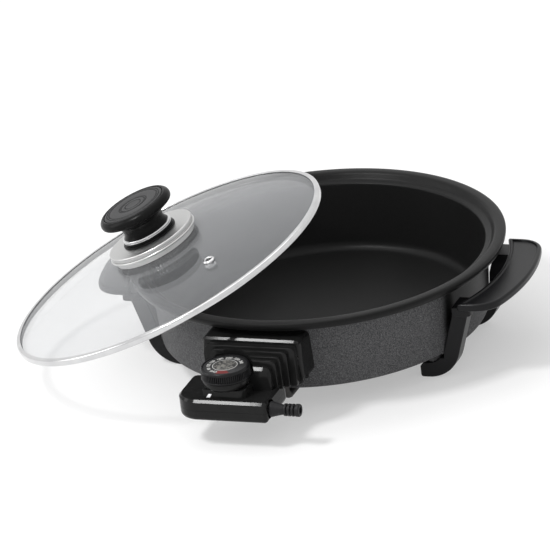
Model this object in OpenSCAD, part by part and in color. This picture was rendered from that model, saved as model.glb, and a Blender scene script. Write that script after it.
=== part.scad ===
// Electric pizza pan with a loose domed glass lid and a plug-in thermostat.
// Z is up and the table is Z = 0. The pan's axis is the Z axis.
// The thermostat socket faces -Y and the two handles stand at +X and -X.

/* [Pan] */
// Outer radius of the rim
rim_r = 180; // [174:1:190]
// Height of the rim above the table
rim_h = 102; // [98:1:112]
// Height of the outer lip band
lip_h = 8; // [6:0.5:10]
// Overhang of the rim beyond the wall below it
lip_over = 17.5; // [16:0.5:20]
// How much smaller the wall's radius is at the base than below the lip
wall_draft = 6.5; // [4:0.5:9]
// Thickness of the cast wall
wall_t = 3; // [2.5:0.1:4]
// Height of the underside of the base above the table
base_z = 23.5; // [22:0.5:27]
// Thickness of the base
base_t = 5; // [4:0.5:7]
// Depth of the lid seat below the rim
seat_depth = 7.4; // [6:0.2:8]

/* [Handles] */
// Reach of the grip beyond the rim
grip_reach = 32; // [26:1:42]
// Half length of the grip
grip_half = 73; // [70:1:80]
// Top of the grip below the rim
grip_drop = 19.8; // [17:0.2:23]
// Thickness of the grip plate
grip_t = 7.5; // [6:0.5:9]
// Outer side of a leg, measured from the middle of the grip
leg_out = 65; // [62:1:68]
// Width of a leg
leg_w = 17; // [14:0.5:20]
// Thickness of a leg
leg_t = 15; // [12:0.5:17]
// Lean of the legs away from the upright, in degrees
leg_lean = 17.7; // [14:0.5:20]

/* [Heating element] */
// Radius of the ring of the heating element
coil_r = 112; // [100:1:114]
// Diameter of the element's sheath
tube_d = 7; // [6:0.5:7.5]
// Spacing of the two terminal pins
pin_gap = 40; // [38:1:44]
// Diameter of a terminal pin
pin_d = 4.6; // [4:0.2:5]

/* [Socket guard] */
// Width of the guard
guard_w = 96; // [94:1:104]
// Top of the guard above the table
guard_top = 87; // [85:0.5:90]
// Bottom of the guard above the table
guard_low = 43; // [40:0.5:44]
// Reach of the guard beyond the wall at the lip
guard_out = 19.5; // [17.5:0.5:22]
// Wall of the guard
guard_t = 3; // [2.5:0.1:3.5]

/* [Thermostat] */
// Height of the probe and the pins above the table
probe_z = 62.5; // [61.5:0.5:64]
// Length of the control housing
ctl_len = 93; // [90:1:100]
// Width of the control housing
ctl_w = 57; // [55:1:60]
// Reach of the control housing beyond the guard
ctl_reach = 60; // [59:1:66]
// Underside of the control housing above the table
ctl_low = 29; // [27:0.5:30]
// Top of the control housing above the table
ctl_top = 50; // [49:0.5:51]
// Wall of the control housing
ctl_t = 2.5; // [2:0.1:3]
// Diameter of the dial
dial_d = 47.5; // [45:0.5:50]
// Height of the dial's skirt
dial_h = 11; // [9:0.5:12]
// Height of the dial's top above the table
dial_top = 77.5; // [76:0.5:79]

/* [Lid] */
// Play between the lid's steel band and the lip round its seat
lid_play = 6.5; // [4:0.5:9]
// Rise of the glass dome's outer face above the glass's edge
dome_rise = 25.2; // [22:0.2:29]
// Thickness of the glass
glass_t = 4; // [3:0.5:5]
// Height of the steel band
band_h = 6.5; // [5:0.5:8]
// Tilt of the lid where it leans on the pan, in degrees
lid_tilt = 21.6; // [20:0.2:23]
// Direction in which the lid slopes down, in degrees
lid_turn = 192.3; // [188:0.5:196]
// Radius of the knob's cap
cap_r = 36.8; // [34:0.5:40]
// Height of the knob above the steel plate
knob_h = 34.5; // [32:0.5:38]
// Radius of the steel plate under the knob
plate_r = 45.2; // [42:0.5:48]

/* [Hidden] */
$fn = 96;

// Gap between pieces that are assembled
fit = 0.3;

// Points of an arc in the plane, from angle a to angle b
function arc(x, y, r, a, b, n = 6) =
  [for (i = [0:n]) [x + r * cos(a + (b - a) * i / n), y + r * sin(a + (b - a) * i / n)]];

// Points of a rectangle with four corner radii: low left, low right, high right, high left
function soft_box(x0, y0, x1, y1, r) = concat(
  arc(x0 + r[0], y0 + r[0], r[0], 180, 270),
  arc(x1 - r[1], y0 + r[1], r[1], 270, 360),
  arc(x1 - r[2], y1 - r[2], r[2], 0, 90),
  arc(x0 + r[3], y1 - r[3], r[3], 90, 180));

// A prism along -Y between two distances in front of the pan's axis
module forward(y_near, y_far) {
  translate([0, -y_near, 0])
    rotate([90, 0, 0])
      linear_extrude(y_far - y_near)
        children();
}

// Two copies, the second one mirrored left to right
module both_sides() {
  children();
  mirror([1, 0, 0])
    children();
}

// Pan measures
lip_z = rim_h - lip_h;
lip_low_r = rim_r - 2;
wall_top_r = rim_r - lip_over;
wall_low_r = wall_top_r - wall_draft;
lip_in_r = wall_top_r + 6.5;
lip_round = 4.5;
seat_z = rim_h - seat_depth;
floor_z = base_z + base_t;
taper = atan((wall_top_r - wall_low_r) / (lip_z - base_z));
toe_r = 6;
toe_x = wall_low_r + toe_r * (tan(taper) - 1 / cos(taper));
heel_r = 8;
function wall_r(z) = wall_low_r + (z - base_z) * tan(taper);
function bore_r(z) = wall_r(z) - wall_t / cos(taper);
sensor_y = wall_r(probe_z) + 4;
stud_x = guard_w / 2 - 8;
stud_r = 2;
guard_front = wall_top_r + guard_out;
plate_y = guard_front - 13.5;
plate_t = 2;

// Feet: the screws stand in line with the legs
sole_x = rim_r - 55;
boss_x = sole_x + 5;
boss_r = 7;
boss_y = leg_out - leg_w / 2;
foot_top = 15;
foot_screw_r = 2;

clip_turns = [90, 210, 330];
clip_r = coil_r - tube_d / 2 - 6;
clip_boss_h = 4;
clip_screw_r = 1.5;

// Space taken by the pan's wall above height z0, grown by gap
module wall_cone(z0, gap) {
  rotate_extrude($fn = 180)
    polygon([
      [0, z0],
      [wall_r(z0) + gap, z0],
      [wall_r(lip_z) + gap, lip_z],
      [0, lip_z]]);
}

// Cast pan: rolled lip with a groove beneath it, lid seat, tapered wall, flat base and bosses
module pan_body() {
  color([0.2, 0.2, 0.21])
    difference() {
      union() {
        rotate_extrude($fn = 180)
          polygon(concat(
            [[0, base_z]],
            arc(toe_x, base_z + toe_r, toe_r, 270, 360 - taper, 5),
            [[wall_r(seat_z - 6), seat_z - 6],
              [lip_in_r - 1, seat_z - 3],
              [lip_in_r + 2, rim_h - 5.5],
              [lip_low_r - 5, rim_h - 4],
              [lip_low_r - 3, rim_h - 5],
              [lip_low_r - 3, lip_z]],
            [[lip_low_r - 0.6, lip_z]],
            [[lip_low_r, lip_z + 0.6]],
            [[rim_r, lip_z + lip_h / 2]],
            arc(rim_r - lip_round, rim_h - lip_round, lip_round, 10, 90, 5),
            arc(lip_in_r + 2, rim_h - 2, 2, 90, 160, 3),
            [[lip_in_r - 3.5, seat_z + 0.6]],
            arc(wall_top_r - wall_t + 1.5, seat_z - 1.5, 1.5, 90, 175, 3),
            arc(bore_r(floor_z + heel_r) - heel_r / cos(taper), floor_z + heel_r, heel_r,
              360 - taper, 270, 5),
            [[0, floor_z]]));
        for (x = [-boss_x, boss_x], y = [-boss_y, boss_y])
          translate([x, y, foot_top])
            cylinder(r = boss_r, h = base_z - foot_top + 1);
        for (a = clip_turns)
          rotate(a)
            translate([clip_r, 0, base_z - clip_boss_h])
              cylinder(r = 3.5, h = clip_boss_h + 1);
        forward(wall_r(probe_z) - 2, sensor_y)
          translate([0, probe_z])
            circle(r = 8);
        both_sides() {
          forward(sqrt(pow(wall_r(probe_z), 2) - pow(stud_x, 2)) - 1.7, plate_y)
            translate([stud_x, probe_z])
              circle(r = 4);
          forward(plate_y - 1, plate_y + plate_t + 5)
            translate([stud_x, probe_z])
              circle(r = stud_r);
        }
      }
      for (x = [-boss_x, boss_x], y = [-boss_y, boss_y])
        translate([x, y, foot_top - 1])
          cylinder(r = foot_screw_r + 0.1, h = 9);
      for (a = clip_turns)
        rotate(a)
          translate([clip_r, 0, base_z - clip_boss_h - 1])
            cylinder(r = clip_screw_r + 0.1, h = 6.5);
    }
}

// Handle measures: the grip is a ring about the pan's axis, its outer corners are rounded
grip_z = rim_h - grip_drop;
grip_in_r = rim_r + 1;
grip_r = rim_r + grip_reach;
corner_r = 25;
corner_y = grip_half - corner_r;
corner_x = sqrt(pow(grip_r - corner_r, 2) - pow(corner_y, 2));
corner_a = atan2(corner_y, corner_x);
end_a = asin(grip_half / grip_in_r);
end_x = wall_top_r - 2.5;
leg_in = leg_out - leg_w;
sole_in_x = sole_x - 8;
sole_r = 33.3;
shoulder_z = grip_z - 5.4;
knee_x = sole_x + sole_r * cos(leg_lean);
knee_z = sole_r * (1 - sin(leg_lean));
function leg_x(z) = knee_x + (z - knee_z) * tan(leg_lean);

function grip_plan() = concat(
  arc(0, 0, grip_r + 1, 5 - corner_a, corner_a - 5, 8),
  arc(corner_x, corner_y, corner_r, corner_a, 90, 6),
  [[grip_in_r * cos(end_a) - 2, grip_half]],
  [[grip_in_r * cos(end_a) - 2, -grip_half]],
  arc(corner_x, -corner_y, corner_r, -90, -corner_a, 6));

// Section of the grip: raised inner edge, slightly hollow top, rounded outer edge
function grip_section() = concat(
  [[grip_in_r, grip_z - grip_t + 1], [grip_in_r + 1, grip_z - grip_t]],
  arc(grip_r - 2, grip_z - grip_t + 2, 2, 270, 360, 3),
  arc(grip_r - 3, grip_z - 3, 3, 0, 90, 4),
  [[grip_r - 7, grip_z - 0.6], [grip_in_r + 4.5, grip_z - 1],
    [grip_in_r + 3, grip_z], [grip_in_r + 0.8, grip_z], [grip_in_r, grip_z - 0.8]]);

// Section of a leg seen from its side: distance from the pan's axis, height
function leg_section() = concat(
  [[sole_in_x + 1.5, 0]],
  arc(sole_x, sole_r, sole_r, 270, 360 - leg_lean, 8),
  [[leg_x(shoulder_z), shoulder_z]],
  [[leg_x(shoulder_z) - leg_t / cos(leg_lean), shoulder_z]],
  arc(sole_x, sole_r, sole_r - leg_t, 360 - leg_lean, 270, 6),
  [[sole_in_x + 4, sole_r - sole_r + leg_t], [sole_in_x, leg_t - 4], [sole_in_x, 1.5]]);

// Handle moulding: flat curved grip, two end blocks and two leaning legs with feet
module handle() {
  difference() {
    union() {
      intersection() {
        rotate_extrude($fn = 180)
          polygon(grip_section());
        translate([0, 0, grip_z - grip_t - 1])
          linear_extrude(grip_t + 2)
            polygon(grip_plan());
      }
      for (s = [1, -1])
        mirror([0, s < 0 ? 1 : 0, 0]) {
          translate([0, leg_out, 0])
            rotate([90, 0, 0])
              linear_extrude(leg_w)
                polygon(leg_section());
          translate([0, 0, shoulder_z - 9])
            linear_extrude(9)
              polygon(soft_box(end_x, leg_in, leg_x(shoulder_z) + 3, grip_half, [1, 1, 1, 5]));
        }
    }
    wall_cone(base_z - fit, 0.6);
    for (y = [-boss_y, boss_y])
      translate([boss_x, y, -1]) {
        cylinder(r = foot_screw_r + 0.4, h = foot_top + 2);
        cylinder(r = 5, h = 8);
        translate([0, 0, foot_top + 1])
          cylinder(r = boss_r + fit, h = base_z);
      }
  }
}

module handle_right() {
  color([0.1, 0.1, 0.1])
    handle();
}

module handle_left() {
  color([0.1, 0.1, 0.1])
    rotate(180)
      handle();
}

// Screws through the feet into the bosses of the base
module foot_screws() {
  color("silver")
    for (x = [-boss_x, boss_x], y = [-boss_y, boss_y])
      translate([x, y, 4])
        difference() {
          union() {
            cylinder(r = 4.3, h = 3);
            translate([0, 0, 2])
              cylinder(r = foot_screw_r, h = foot_top);
          }
          translate([0, 0, -1])
            cylinder(r = 2, h = 2.6, $fn = 6);
        }
}

// Heating element measures: the ring lies under the base, its cold ends rise to the terminals
pin_x = pin_gap / 2;
coil_z = base_z - tube_d / 2 - 0.2;
tail_r = 10;
tail_y = sqrt(pow(coil_r + tail_r, 2) - pow(pin_x + tail_r, 2));
tail_a = asin((pin_x + tail_r) / (coil_r + tail_r));
rise_y = wall_r(probe_z) + tube_d / 2 + 0.8;
low_bend = 9;
top_bend = 5.5;
pin_y = rise_y + top_bend;

// An arc of the sheath in the XY plane from +X towards +Y
module tube_arc(r, a) {
  rotate_extrude(angle = a, $fn = 180)
    translate([r, 0])
      circle(d = tube_d, $fn = 32);
}

// A straight length of the sheath along +Y, a little wider, that covers the ends of the arcs
module sleeve(y0, y1) {
  translate([0, y0, 0])
    rotate([-90, 0, 0])
      cylinder(r = tube_d / 2 + 0.2, h = y1 - y0);
}

module heating_element() {
  lap = 1;
  gap_a = 0.3;
  color([0.35, 0.33, 0.31]) {
    translate([0, 0, coil_z])
      rotate(tail_a - 90 + gap_a)
        tube_arc(coil_r, 360 - 2 * tail_a - 2 * gap_a);
    both_sides() {
      translate([0, 0, coil_z])
        rotate(tail_a - 90)
          translate([coil_r, 0, 0])
            sleeve(-lap, 4);
      translate([pin_x + tail_r, -tail_y, coil_z])
        rotate(90 + tail_a)
          tube_arc(tail_r, 90 - tail_a);
      translate([pin_x, 0, coil_z])
        sleeve(low_bend - rise_y - lap, lap - tail_y);
      translate([pin_x, low_bend - rise_y, coil_z + low_bend])
        rotate([0, 90, 180])
          tube_arc(low_bend, 90);
      translate([pin_x, -rise_y, 0])
        rotate([90, 0, 0])
          sleeve(coil_z + low_bend - lap, probe_z - top_bend + lap);
      translate([pin_x, -pin_y, probe_z - top_bend])
        rotate([90, 0, 90])
          tube_arc(top_bend, 90);
    }
  }
}

// Steel straps that hold the ring against the base
module element_clips() {
  strap = 1;
  low = coil_z - tube_d / 2 - 0.1;
  color("silver")
    for (a = clip_turns)
      rotate(a)
        difference() {
          translate([0, 6, 0])
            rotate([90, 0, 0])
              linear_extrude(12)
                polygon([
                  [clip_r - 5, base_z - clip_boss_h],
                  [clip_r - 5, base_z - clip_boss_h - strap],
                  [clip_r + 3.6, base_z - clip_boss_h - strap],
                  [coil_r - tube_d / 2 - 0.6, low - strap],
                  [coil_r + tube_d / 2 + 1.4, low - strap],
                  [coil_r + tube_d / 2 + 1.4, base_z - 0.2],
                  [coil_r + tube_d / 2 + 0.4, base_z - 0.2],
                  [coil_r + tube_d / 2 + 0.4, low],
                  [coil_r - tube_d / 2, low],
                  [clip_r + 4.2, base_z - clip_boss_h]]);
          translate([clip_r, 0, 0])
            cylinder(r = clip_screw_r + 0.2, h = base_z);
        }
}

module clip_screws() {
  color("silver")
    for (a = clip_turns)
      rotate(a)
        translate([clip_r, 0, base_z - clip_boss_h - 3]) {
          cylinder(r = 3, h = 2);
          cylinder(r = clip_screw_r, h = 8);
        }
}

// Terminal pins at the ends of the element
module terminal_pins() {
  color("silver")
    both_sides()
      translate([pin_x, -pin_y, probe_z])
        rotate([90, 0, 0]) {
          cylinder(d = pin_d, h = guard_front - 1 - pin_y - pin_d / 4);
          translate([0, 0, guard_front - 1 - pin_y - pin_d / 4])
            cylinder(r1 = pin_d / 2, r2 = pin_d / 4, h = pin_d / 4);
        }
}

// Ceramic beads round the roots of the pins
module pin_seals() {
  color("white")
    both_sides()
      translate([pin_x, -pin_y, probe_z])
        rotate([90, 0, 0])
          difference() {
            cylinder(r = 4.5, h = 2);
            translate([0, 0, -1])
              cylinder(d = pin_d + 0.1, h = 4);
          }
}

// Guard measures
nose_y = pin_y + 3;
guard_in = guard_w / 2 - guard_t;

// Open box round the terminals that follows the wall at the back
module socket_guard() {
  color([0.06, 0.06, 0.06])
    difference() {
      union() {
        difference() {
          forward(wall_low_r - 10, guard_front)
            polygon(soft_box(-guard_w / 2, guard_low, guard_w / 2, guard_top, [6, 6, 6, 6]));
          forward(wall_low_r - 11, guard_front + 1)
            polygon(soft_box(-guard_in, guard_low + guard_t, guard_in, guard_top - guard_t,
              [3, 3, 3, 3]));
        }
        both_sides()
          forward(plate_y, plate_y + plate_t)
            translate([stud_x - 8, guard_low + 1])
              square([15, guard_top - guard_low - 2]);
      }
      wall_cone(guard_low - 5, fit);
      both_sides() {
        forward(plate_y - 1, plate_y + plate_t + 1)
          translate([stud_x, probe_z])
            circle(r = stud_r + 0.2);
        translate([pin_x - tube_d / 2 - 1.5, -rise_y - tube_d / 2 - 1.5, guard_low - 1])
          cube([tube_d + 3, 30, guard_t + 2]);
      }
    }
}

module guard_nuts() {
  color("silver")
    both_sides()
      forward(plate_y + plate_t, plate_y + plate_t + 3)
        translate([stud_x, probe_z])
          difference() {
            circle(r = 3.4, $fn = 6);
            circle(r = stud_r + 0.1);
          }
}

// Lid measures, in the lid's own frame: the band's lower edge lies in Z = 0
edge_z = 4.8;
lid_r = lip_in_r - lid_play;
glass_r = lid_r - 1.6;
dome_r = (pow(glass_r, 2) + pow(dome_rise, 2)) / (2 * dome_rise);
dome_top = edge_z + dome_rise;
dome_c = dome_top - dome_r;
edge_a = asin(glass_r / dome_r);
screw_r = 3;
vent_r = 103;
vent_turn = 130;
vent_a = asin(vent_r / dome_r);
plate_z = dome_top - dome_r + sqrt(pow(dome_r, 2) - pow(plate_r, 2)) + fit;
plate_top = dome_top + 10.8;
knob_top = plate_top + knob_h;

// The lid lies outward from the pan's axis by these shares of the rim's radius
lid_x = -0.692 * rim_r;
lid_y = -0.372 * rim_r;
lid_gap = 0.32;

// A point of the lid at rest on height 0, from its place in the lid's own frame
function on_tilt(x, y, z) = [
  lid_x + cos(lid_turn) * (x * cos(lid_tilt) + z * sin(lid_tilt)) - sin(lid_turn) * y,
  lid_y + sin(lid_turn) * (x * cos(lid_tilt) + z * sin(lid_tilt)) + cos(lid_turn) * y,
  z * cos(lid_tilt) - x * sin(lid_tilt)];

// Height of the rounded rim at a distance from the pan's axis
function rim_top(r) = rim_h - lip_round
  + sqrt(max(0, pow(lip_round, 2) - pow(max(0, r - rim_r + lip_round), 2)));

// The lid is let down until its band meets the rim or its glass meets the grip's edge
band_edge = [for (r = [lid_r - 3.6, lid_r - 0.8], a = [0:0.5:359.5])
  on_tilt(r * cos(a), r * sin(a), 0)];
on_rim = [for (p = band_edge)
  let (r = norm([p[0], p[1]]))
    if (r > lip_in_r + 1 && r < rim_r - 0.3) rim_top(r) - p[2]];
bowl_c = on_tilt(0, 0, dome_c);
bowl_r = dome_r - glass_t - 1;
on_grip = [for (a = [-20:2:20])
  let (h = norm([grip_r * cos(a) + bowl_c[0], grip_r * sin(a) + bowl_c[1]]))
    grip_z - 1 - bowl_c[2] - sqrt(pow(bowl_r, 2) - pow(h, 2))];
lid_z = max(concat(on_rim, on_grip)) + lid_gap;

module on_lid() {
  translate([lid_x, lid_y, lid_z])
    rotate([0, lid_tilt, lid_turn])
      children();
}

// Domed glass with holes for the knob's screw and the vent
module lid_glass() {
  color([0.8, 0.85, 0.88, 0.35])
    on_lid()
      difference() {
        rotate_extrude($fn = 180)
          polygon(concat(
            arc(0, dome_c, dome_r, 90 - edge_a, 90, 12),
            arc(0, dome_c, dome_r - glass_t, 90, 90 - edge_a, 12)));
        translate([0, 0, dome_top - glass_t - 1])
          cylinder(r = screw_r + 1, h = glass_t + 2);
        on_vent()
          translate([0, 0, -glass_t - 1])
            cylinder(r = 4, h = glass_t + 2);
      }
}

// Frame on the dome's outer face at the vent
module on_vent() {
  rotate(vent_turn)
    translate([0, 0, dome_c])
      rotate([0, vent_a, 0])
        translate([0, 0, dome_r])
          children();
}

// Steel band folded over the glass's edge
module lid_band() {
  color("silver")
    on_lid()
      rotate_extrude($fn = 180)
        polygon([
          [lid_r - 3.6, 0],
          [lid_r - 0.8, 0],
          [lid_r, 0.8],
          [lid_r, band_h - 0.8],
          [lid_r - 0.8, band_h],
          [lid_r - 4.5, band_h + 0.4],
          [lid_r - 4.7, band_h - 0.4],
          [lid_r - 1.2, band_h - 1],
          [lid_r - 1.2, 0.7],
          [lid_r - 3.6, 0.7]]);
}

// Steel grommet of the steam vent
module vent_eyelet() {
  color("silver")
    on_lid()
      on_vent()
        rotate_extrude()
          polygon([
            [2.6, -glass_t - 1.4],
            [5.6, -glass_t - 1.4],
            [5.6, -glass_t - 0.5],
            [3.7, -glass_t - 0.5],
            [3.7, 0.5],
            [5.8, 0.5],
            [5.8, 1.1],
            [5, 1.8],
            [3.4, 2.1],
            [2.6, 1.4]]);
}

// Fluted cup under the glass that takes the head of the knob's screw
cup_h = 21;
cup_r = 14.3;
washer_h = 1.5;
cup_top = dome_top - glass_t - 0.6 - washer_h;
module lid_boss() {
  flutes = 18;
  color([0.08, 0.08, 0.08])
    on_lid()
      difference() {
        translate([0, 0, cup_top - cup_h])
          linear_extrude(cup_h)
            polygon([for (i = [0:4 * flutes - 1])
              (cup_r - (i % 4 < 2 ? 0 : 0.9))
              * [cos(90 * i / flutes), sin(90 * i / flutes)]]);
        translate([0, 0, cup_top - cup_h - 1])
          cylinder(r = cup_r - 3.5, h = cup_h - 4);
        cylinder(r = screw_r + 0.3, h = dome_top);
      }
}

// Soft washer between the cup and the glass
module boss_washer() {
  color([0.15, 0.15, 0.15])
    on_lid()
      translate([0, 0, cup_top])
        difference() {
          cylinder(r = cup_r - 2, h = washer_h);
          translate([0, 0, -1])
            cylinder(r = screw_r + 0.3, h = washer_h + 2);
        }
}

// Pressed steel plate with a stepped edge
module knob_plate() {
  color("silver")
    on_lid()
      rotate_extrude()
        polygon([
          [screw_r + 0.3, plate_top - 1.2],
          [plate_r - 4, plate_top - 1.2],
          [plate_r - 3.4, plate_top - 2],
          [plate_r - 3.4, plate_top - 6],
          [plate_r - 1.2, plate_top - 6.8],
          [plate_r - 1.2, plate_z],
          [plate_r, plate_z],
          [plate_r, plate_top - 6.2],
          [plate_r - 0.6, plate_top - 5.6],
          [plate_r - 2.2, plate_top - 5.2],
          [plate_r - 2.2, plate_top - 1],
          [plate_r - 3.2, plate_top],
          [screw_r + 0.3, plate_top]]);
}

foot_h = 4.2;
foot_r = 27;
ring_h = 2.4;
ring_r = 24.8;
ring_z = plate_top + foot_h;
grip_low = ring_z + ring_h;

// Grooved foot of the knob
module knob_base() {
  color([0.08, 0.08, 0.08])
    on_lid()
      rotate_extrude()
        polygon([
          [screw_r + 0.3, plate_top],
          [foot_r, plate_top],
          [foot_r, plate_top + foot_h / 3],
          [foot_r - 1.7, plate_top + foot_h / 3 + 0.4],
          [foot_r - 1.7, plate_top + foot_h / 2 + 0.3],
          [foot_r - 0.6, ring_z - foot_h / 3],
          [foot_r - 1, ring_z],
          [screw_r + 0.3, ring_z]]);
}

// Bright ring between the foot and the grip of the knob
module knob_ring() {
  color("silver")
    on_lid()
      rotate_extrude()
        polygon([
          [ring_r - 4.8, ring_z],
          [ring_r - 0.6, ring_z],
          [ring_r, ring_z + ring_h / 4],
          [ring_r, grip_low - ring_h / 4],
          [ring_r - 0.6, grip_low],
          [ring_r - 4.8, grip_low]]);
}

// Waisted grip of the knob, hollow from below round its screw post
module knob_grip() {
  waist = grip_low + 6;
  color([0.1, 0.1, 0.1])
    on_lid()
      rotate_extrude()
        polygon(concat(
          [[screw_r, grip_low - 0.5], [9, grip_low - 0.5], [9, grip_low],
            [ring_r - 0.8, grip_low]],
          arc(31.5, waist, 11, 205, 140, 6),
          [[cap_r - 10, grip_low + 14.4], [cap_r - 9.6, grip_low + 16.4]],
          [[cap_r - 4, grip_low + 17.4]],
          arc(cap_r - 4, knob_top - 5.5, 4, -75, 60, 6),
          [[cap_r - 4, knob_top - 1.2], [cap_r - 6, knob_top - 1.2], [cap_r - 6, knob_top - 3]],
          [[screw_r, knob_top - 3]]));
}

// Cap disc with concentric grooves
module knob_cap() {
  cap_z = knob_top - 3;
  r = cap_r - 6.2;
  color([0.3, 0.3, 0.3])
    on_lid()
      rotate_extrude()
        polygon([
          [0, cap_z],
          [r, cap_z],
          [r, cap_z + 1.6],
          [r - 1, cap_z + 2.4],
          [r - 9, cap_z + 2.6],
          [r - 9.4, cap_z + 1.8],
          [r - 10.2, cap_z + 1.8],
          [r - 10.6, cap_z + 2.6],
          [r - 16, cap_z + 2.7],
          [r - 16.4, cap_z + 1.9],
          [r - 17.2, cap_z + 1.9],
          [r - 17.6, cap_z + 2.7],
          [0, cap_z + 2.8]]);
}

// Machine screw from the cup up into the knob
module knob_screw() {
  head_z = cup_top - 5 - 3.2;
  color("silver")
    on_lid()
      difference() {
        union() {
          translate([0, 0, head_z])
            cylinder(r = 5.5, h = 3.2);
          translate([0, 0, head_z])
            cylinder(r = screw_r - 0.1, h = knob_top - 6 - head_z);
        }
        translate([0, 0, head_z - 1])
          cylinder(r = 2.6, h = 3, $fn = 6);
      }
}

// Control measures
ctl_x0 = -62;
ctl_x1 = ctl_x0 + ctl_len;
ctl_front = guard_front + ctl_reach;
ctl_y0 = -ctl_front;
ctl_y1 = ctl_y0 + ctl_w;
cord_y = ctl_y0 + 12.5;
cord_z = 39.5;
dial_x = -14.5;
dial_y = ctl_y0 + 23.5;
dial_r = dial_d / 2;
dial_z = dial_top - dial_h;
boss_z = dial_z - 0.6;
hub_r = 22.5;
hub_top = ctl_top + 8.5;
head_y = guard_front + 13;
step = 5;
head_x = 36;
head_top = 80;
head_low = 46;
neck_x = 26.5;
neck_y = head_y + 2 * step + 7;
posts = [[-53, ctl_y1 - 9.5], [22, ctl_y1 - 9.5], [-44, ctl_y0 + 11]];
post_r = 4;
spindle_r = 3;

function ctl_plan(inset) = soft_box(ctl_x0 + inset, ctl_y0 + inset, ctl_x1 - inset, ctl_y1 - inset,
  [22 - inset, max(4 - inset, 1), max(8 - inset, 1), max(8 - inset, 1)]);

// Block that carries the dial: its front is flat and its left front corner is sharp
function hub_plan(inset) = soft_box(dial_x - 18.8 + inset, dial_y - 16.7 + inset,
  dial_x + hub_r - inset, inset - head_y, [1.5, 7 - inset, 1, 1]);

// Space that the dial turns in
module dial_well(gap) {
  translate([dial_x, dial_y, boss_z])
    cylinder(r = dial_r + gap, h = 30);
}

// Round notch that both halves leave for the strain relief
module cord_notch() {
  translate([ctl_x1 - 10, cord_y, cord_z])
    rotate([0, 90, 0])
      cylinder(r = 5.1, h = 20);
}

// Lower half of the housing with its rounded underside
module control_base() {
  color([0.06, 0.06, 0.06])
    difference() {
      union() {
        difference() {
          hull() {
            translate([0, 0, ctl_low])
              linear_extrude(0.1)
                polygon(ctl_plan(5));
            translate([0, 0, ctl_low + 1.5])
              linear_extrude(0.1)
                polygon(ctl_plan(2));
            translate([0, 0, ctl_low + 4.5])
              linear_extrude(cord_z - ctl_low - 4.5)
                polygon(ctl_plan(0));
          }
          translate([0, 0, ctl_low + ctl_t])
            linear_extrude(cord_z)
              polygon(ctl_plan(ctl_t + 0.5));
        }
        for (p = posts)
          translate([p[0], p[1], ctl_low + 1])
            cylinder(r = post_r, h = cord_z - ctl_low - 1);
      }
      cord_notch();
      for (p = posts)
        translate([p[0], p[1], ctl_low - 1]) {
          cylinder(r = 1.8, h = 20);
          cylinder(r = 3, h = 4);
        }
    }
}

// Upper half of the housing: rim, dial hub, neck and the stepped head
module control_cover() {
  color([0.06, 0.06, 0.06])
    difference() {
      union() {
        hull() {
          translate([0, 0, cord_z])
            linear_extrude(ctl_top - cord_z - 3.5)
              polygon(ctl_plan(0));
          translate([0, 0, ctl_top - 1.9])
            linear_extrude(0.1)
              polygon(ctl_plan(0.4));
          translate([0, 0, ctl_top - 0.8])
            linear_extrude(0.1)
              polygon(ctl_plan(1.2));
          translate([0, 0, ctl_top - 0.1])
            linear_extrude(0.1)
              polygon(ctl_plan(2.8));
        }
        translate([0, 0, ctl_top - 1])
          linear_extrude(hub_top - ctl_top + 1)
            polygon(hub_plan(0));
        translate([dial_x, dial_y, hub_top - 1])
          rotate_extrude()
            polygon([[0, -2], [hub_r - 6.5, -2], [hub_r - 2, 0], [hub_r, 2.5],
              [hub_r, boss_z - hub_top + 0.4], [hub_r - 0.6, boss_z - hub_top + 1],
              [0, boss_z - hub_top + 1]]);
        forward(head_y, head_y + step)
          polygon(soft_box(-head_x + 3, head_low, head_x - 3, head_top - 2, [1, 1, 5, 5]));
        forward(head_y + step - 1, head_y + 2 * step)
          polygon(soft_box(-head_x + 6, head_low, head_x - 6, head_top - 4, [1, 1, 5, 5]));
        forward(head_y + step, neck_y)
          polygon(soft_box(-neck_x, ctl_top - 3, neck_x, head_top - 8, [1, 1, 6, 6]));
      }
      translate([0, 0, cord_z - 1])
        linear_extrude(ctl_top - ctl_t - cord_z + 1)
          difference() {
            polygon(ctl_plan(ctl_t + 0.5));
            for (p = posts)
              translate(p)
                circle(r = post_r, $fn = 48);
          }
      for (p = posts)
        translate([p[0], p[1], cord_z - 1])
          cylinder(r = 1.35, h = 8);
      translate([0, 0, cord_z + 2])
        linear_extrude(boss_z - cord_z - 6)
          polygon(hub_plan(ctl_t));
      translate([dial_x, dial_y, cord_z])
        cylinder(r = spindle_r + fit, h = 40);
      dial_well(2);
      translate([-head_x + 13, -neck_y + 4, cord_z + 2])
        cube([2 * head_x - 26, neck_y - 4 - head_y + 1, head_top - cord_z - 14]);
      cord_notch();
      lens_cut();
    }
}

hub_front = 16.7 - dial_y;
lens_x = dial_x - 15.4;
lens_z = ctl_top + 0.9;
// Slanted outline of the pilot lens, seen from the front
function lens_plan(gap) = [
  [lens_x - gap, lens_z - gap],
  [lens_x + 3.6 + gap, lens_z - gap],
  [lens_x + 5.9 + gap, lens_z + 3.6 + gap],
  [lens_x + 2.6 - gap, lens_z + 3.6 + gap]];

// Slot in the hub for the pilot lens
module lens_cut() {
  forward(hub_front - 2 * ctl_t, hub_front + 1)
    polygon(lens_plan(0.15));
}

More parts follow.
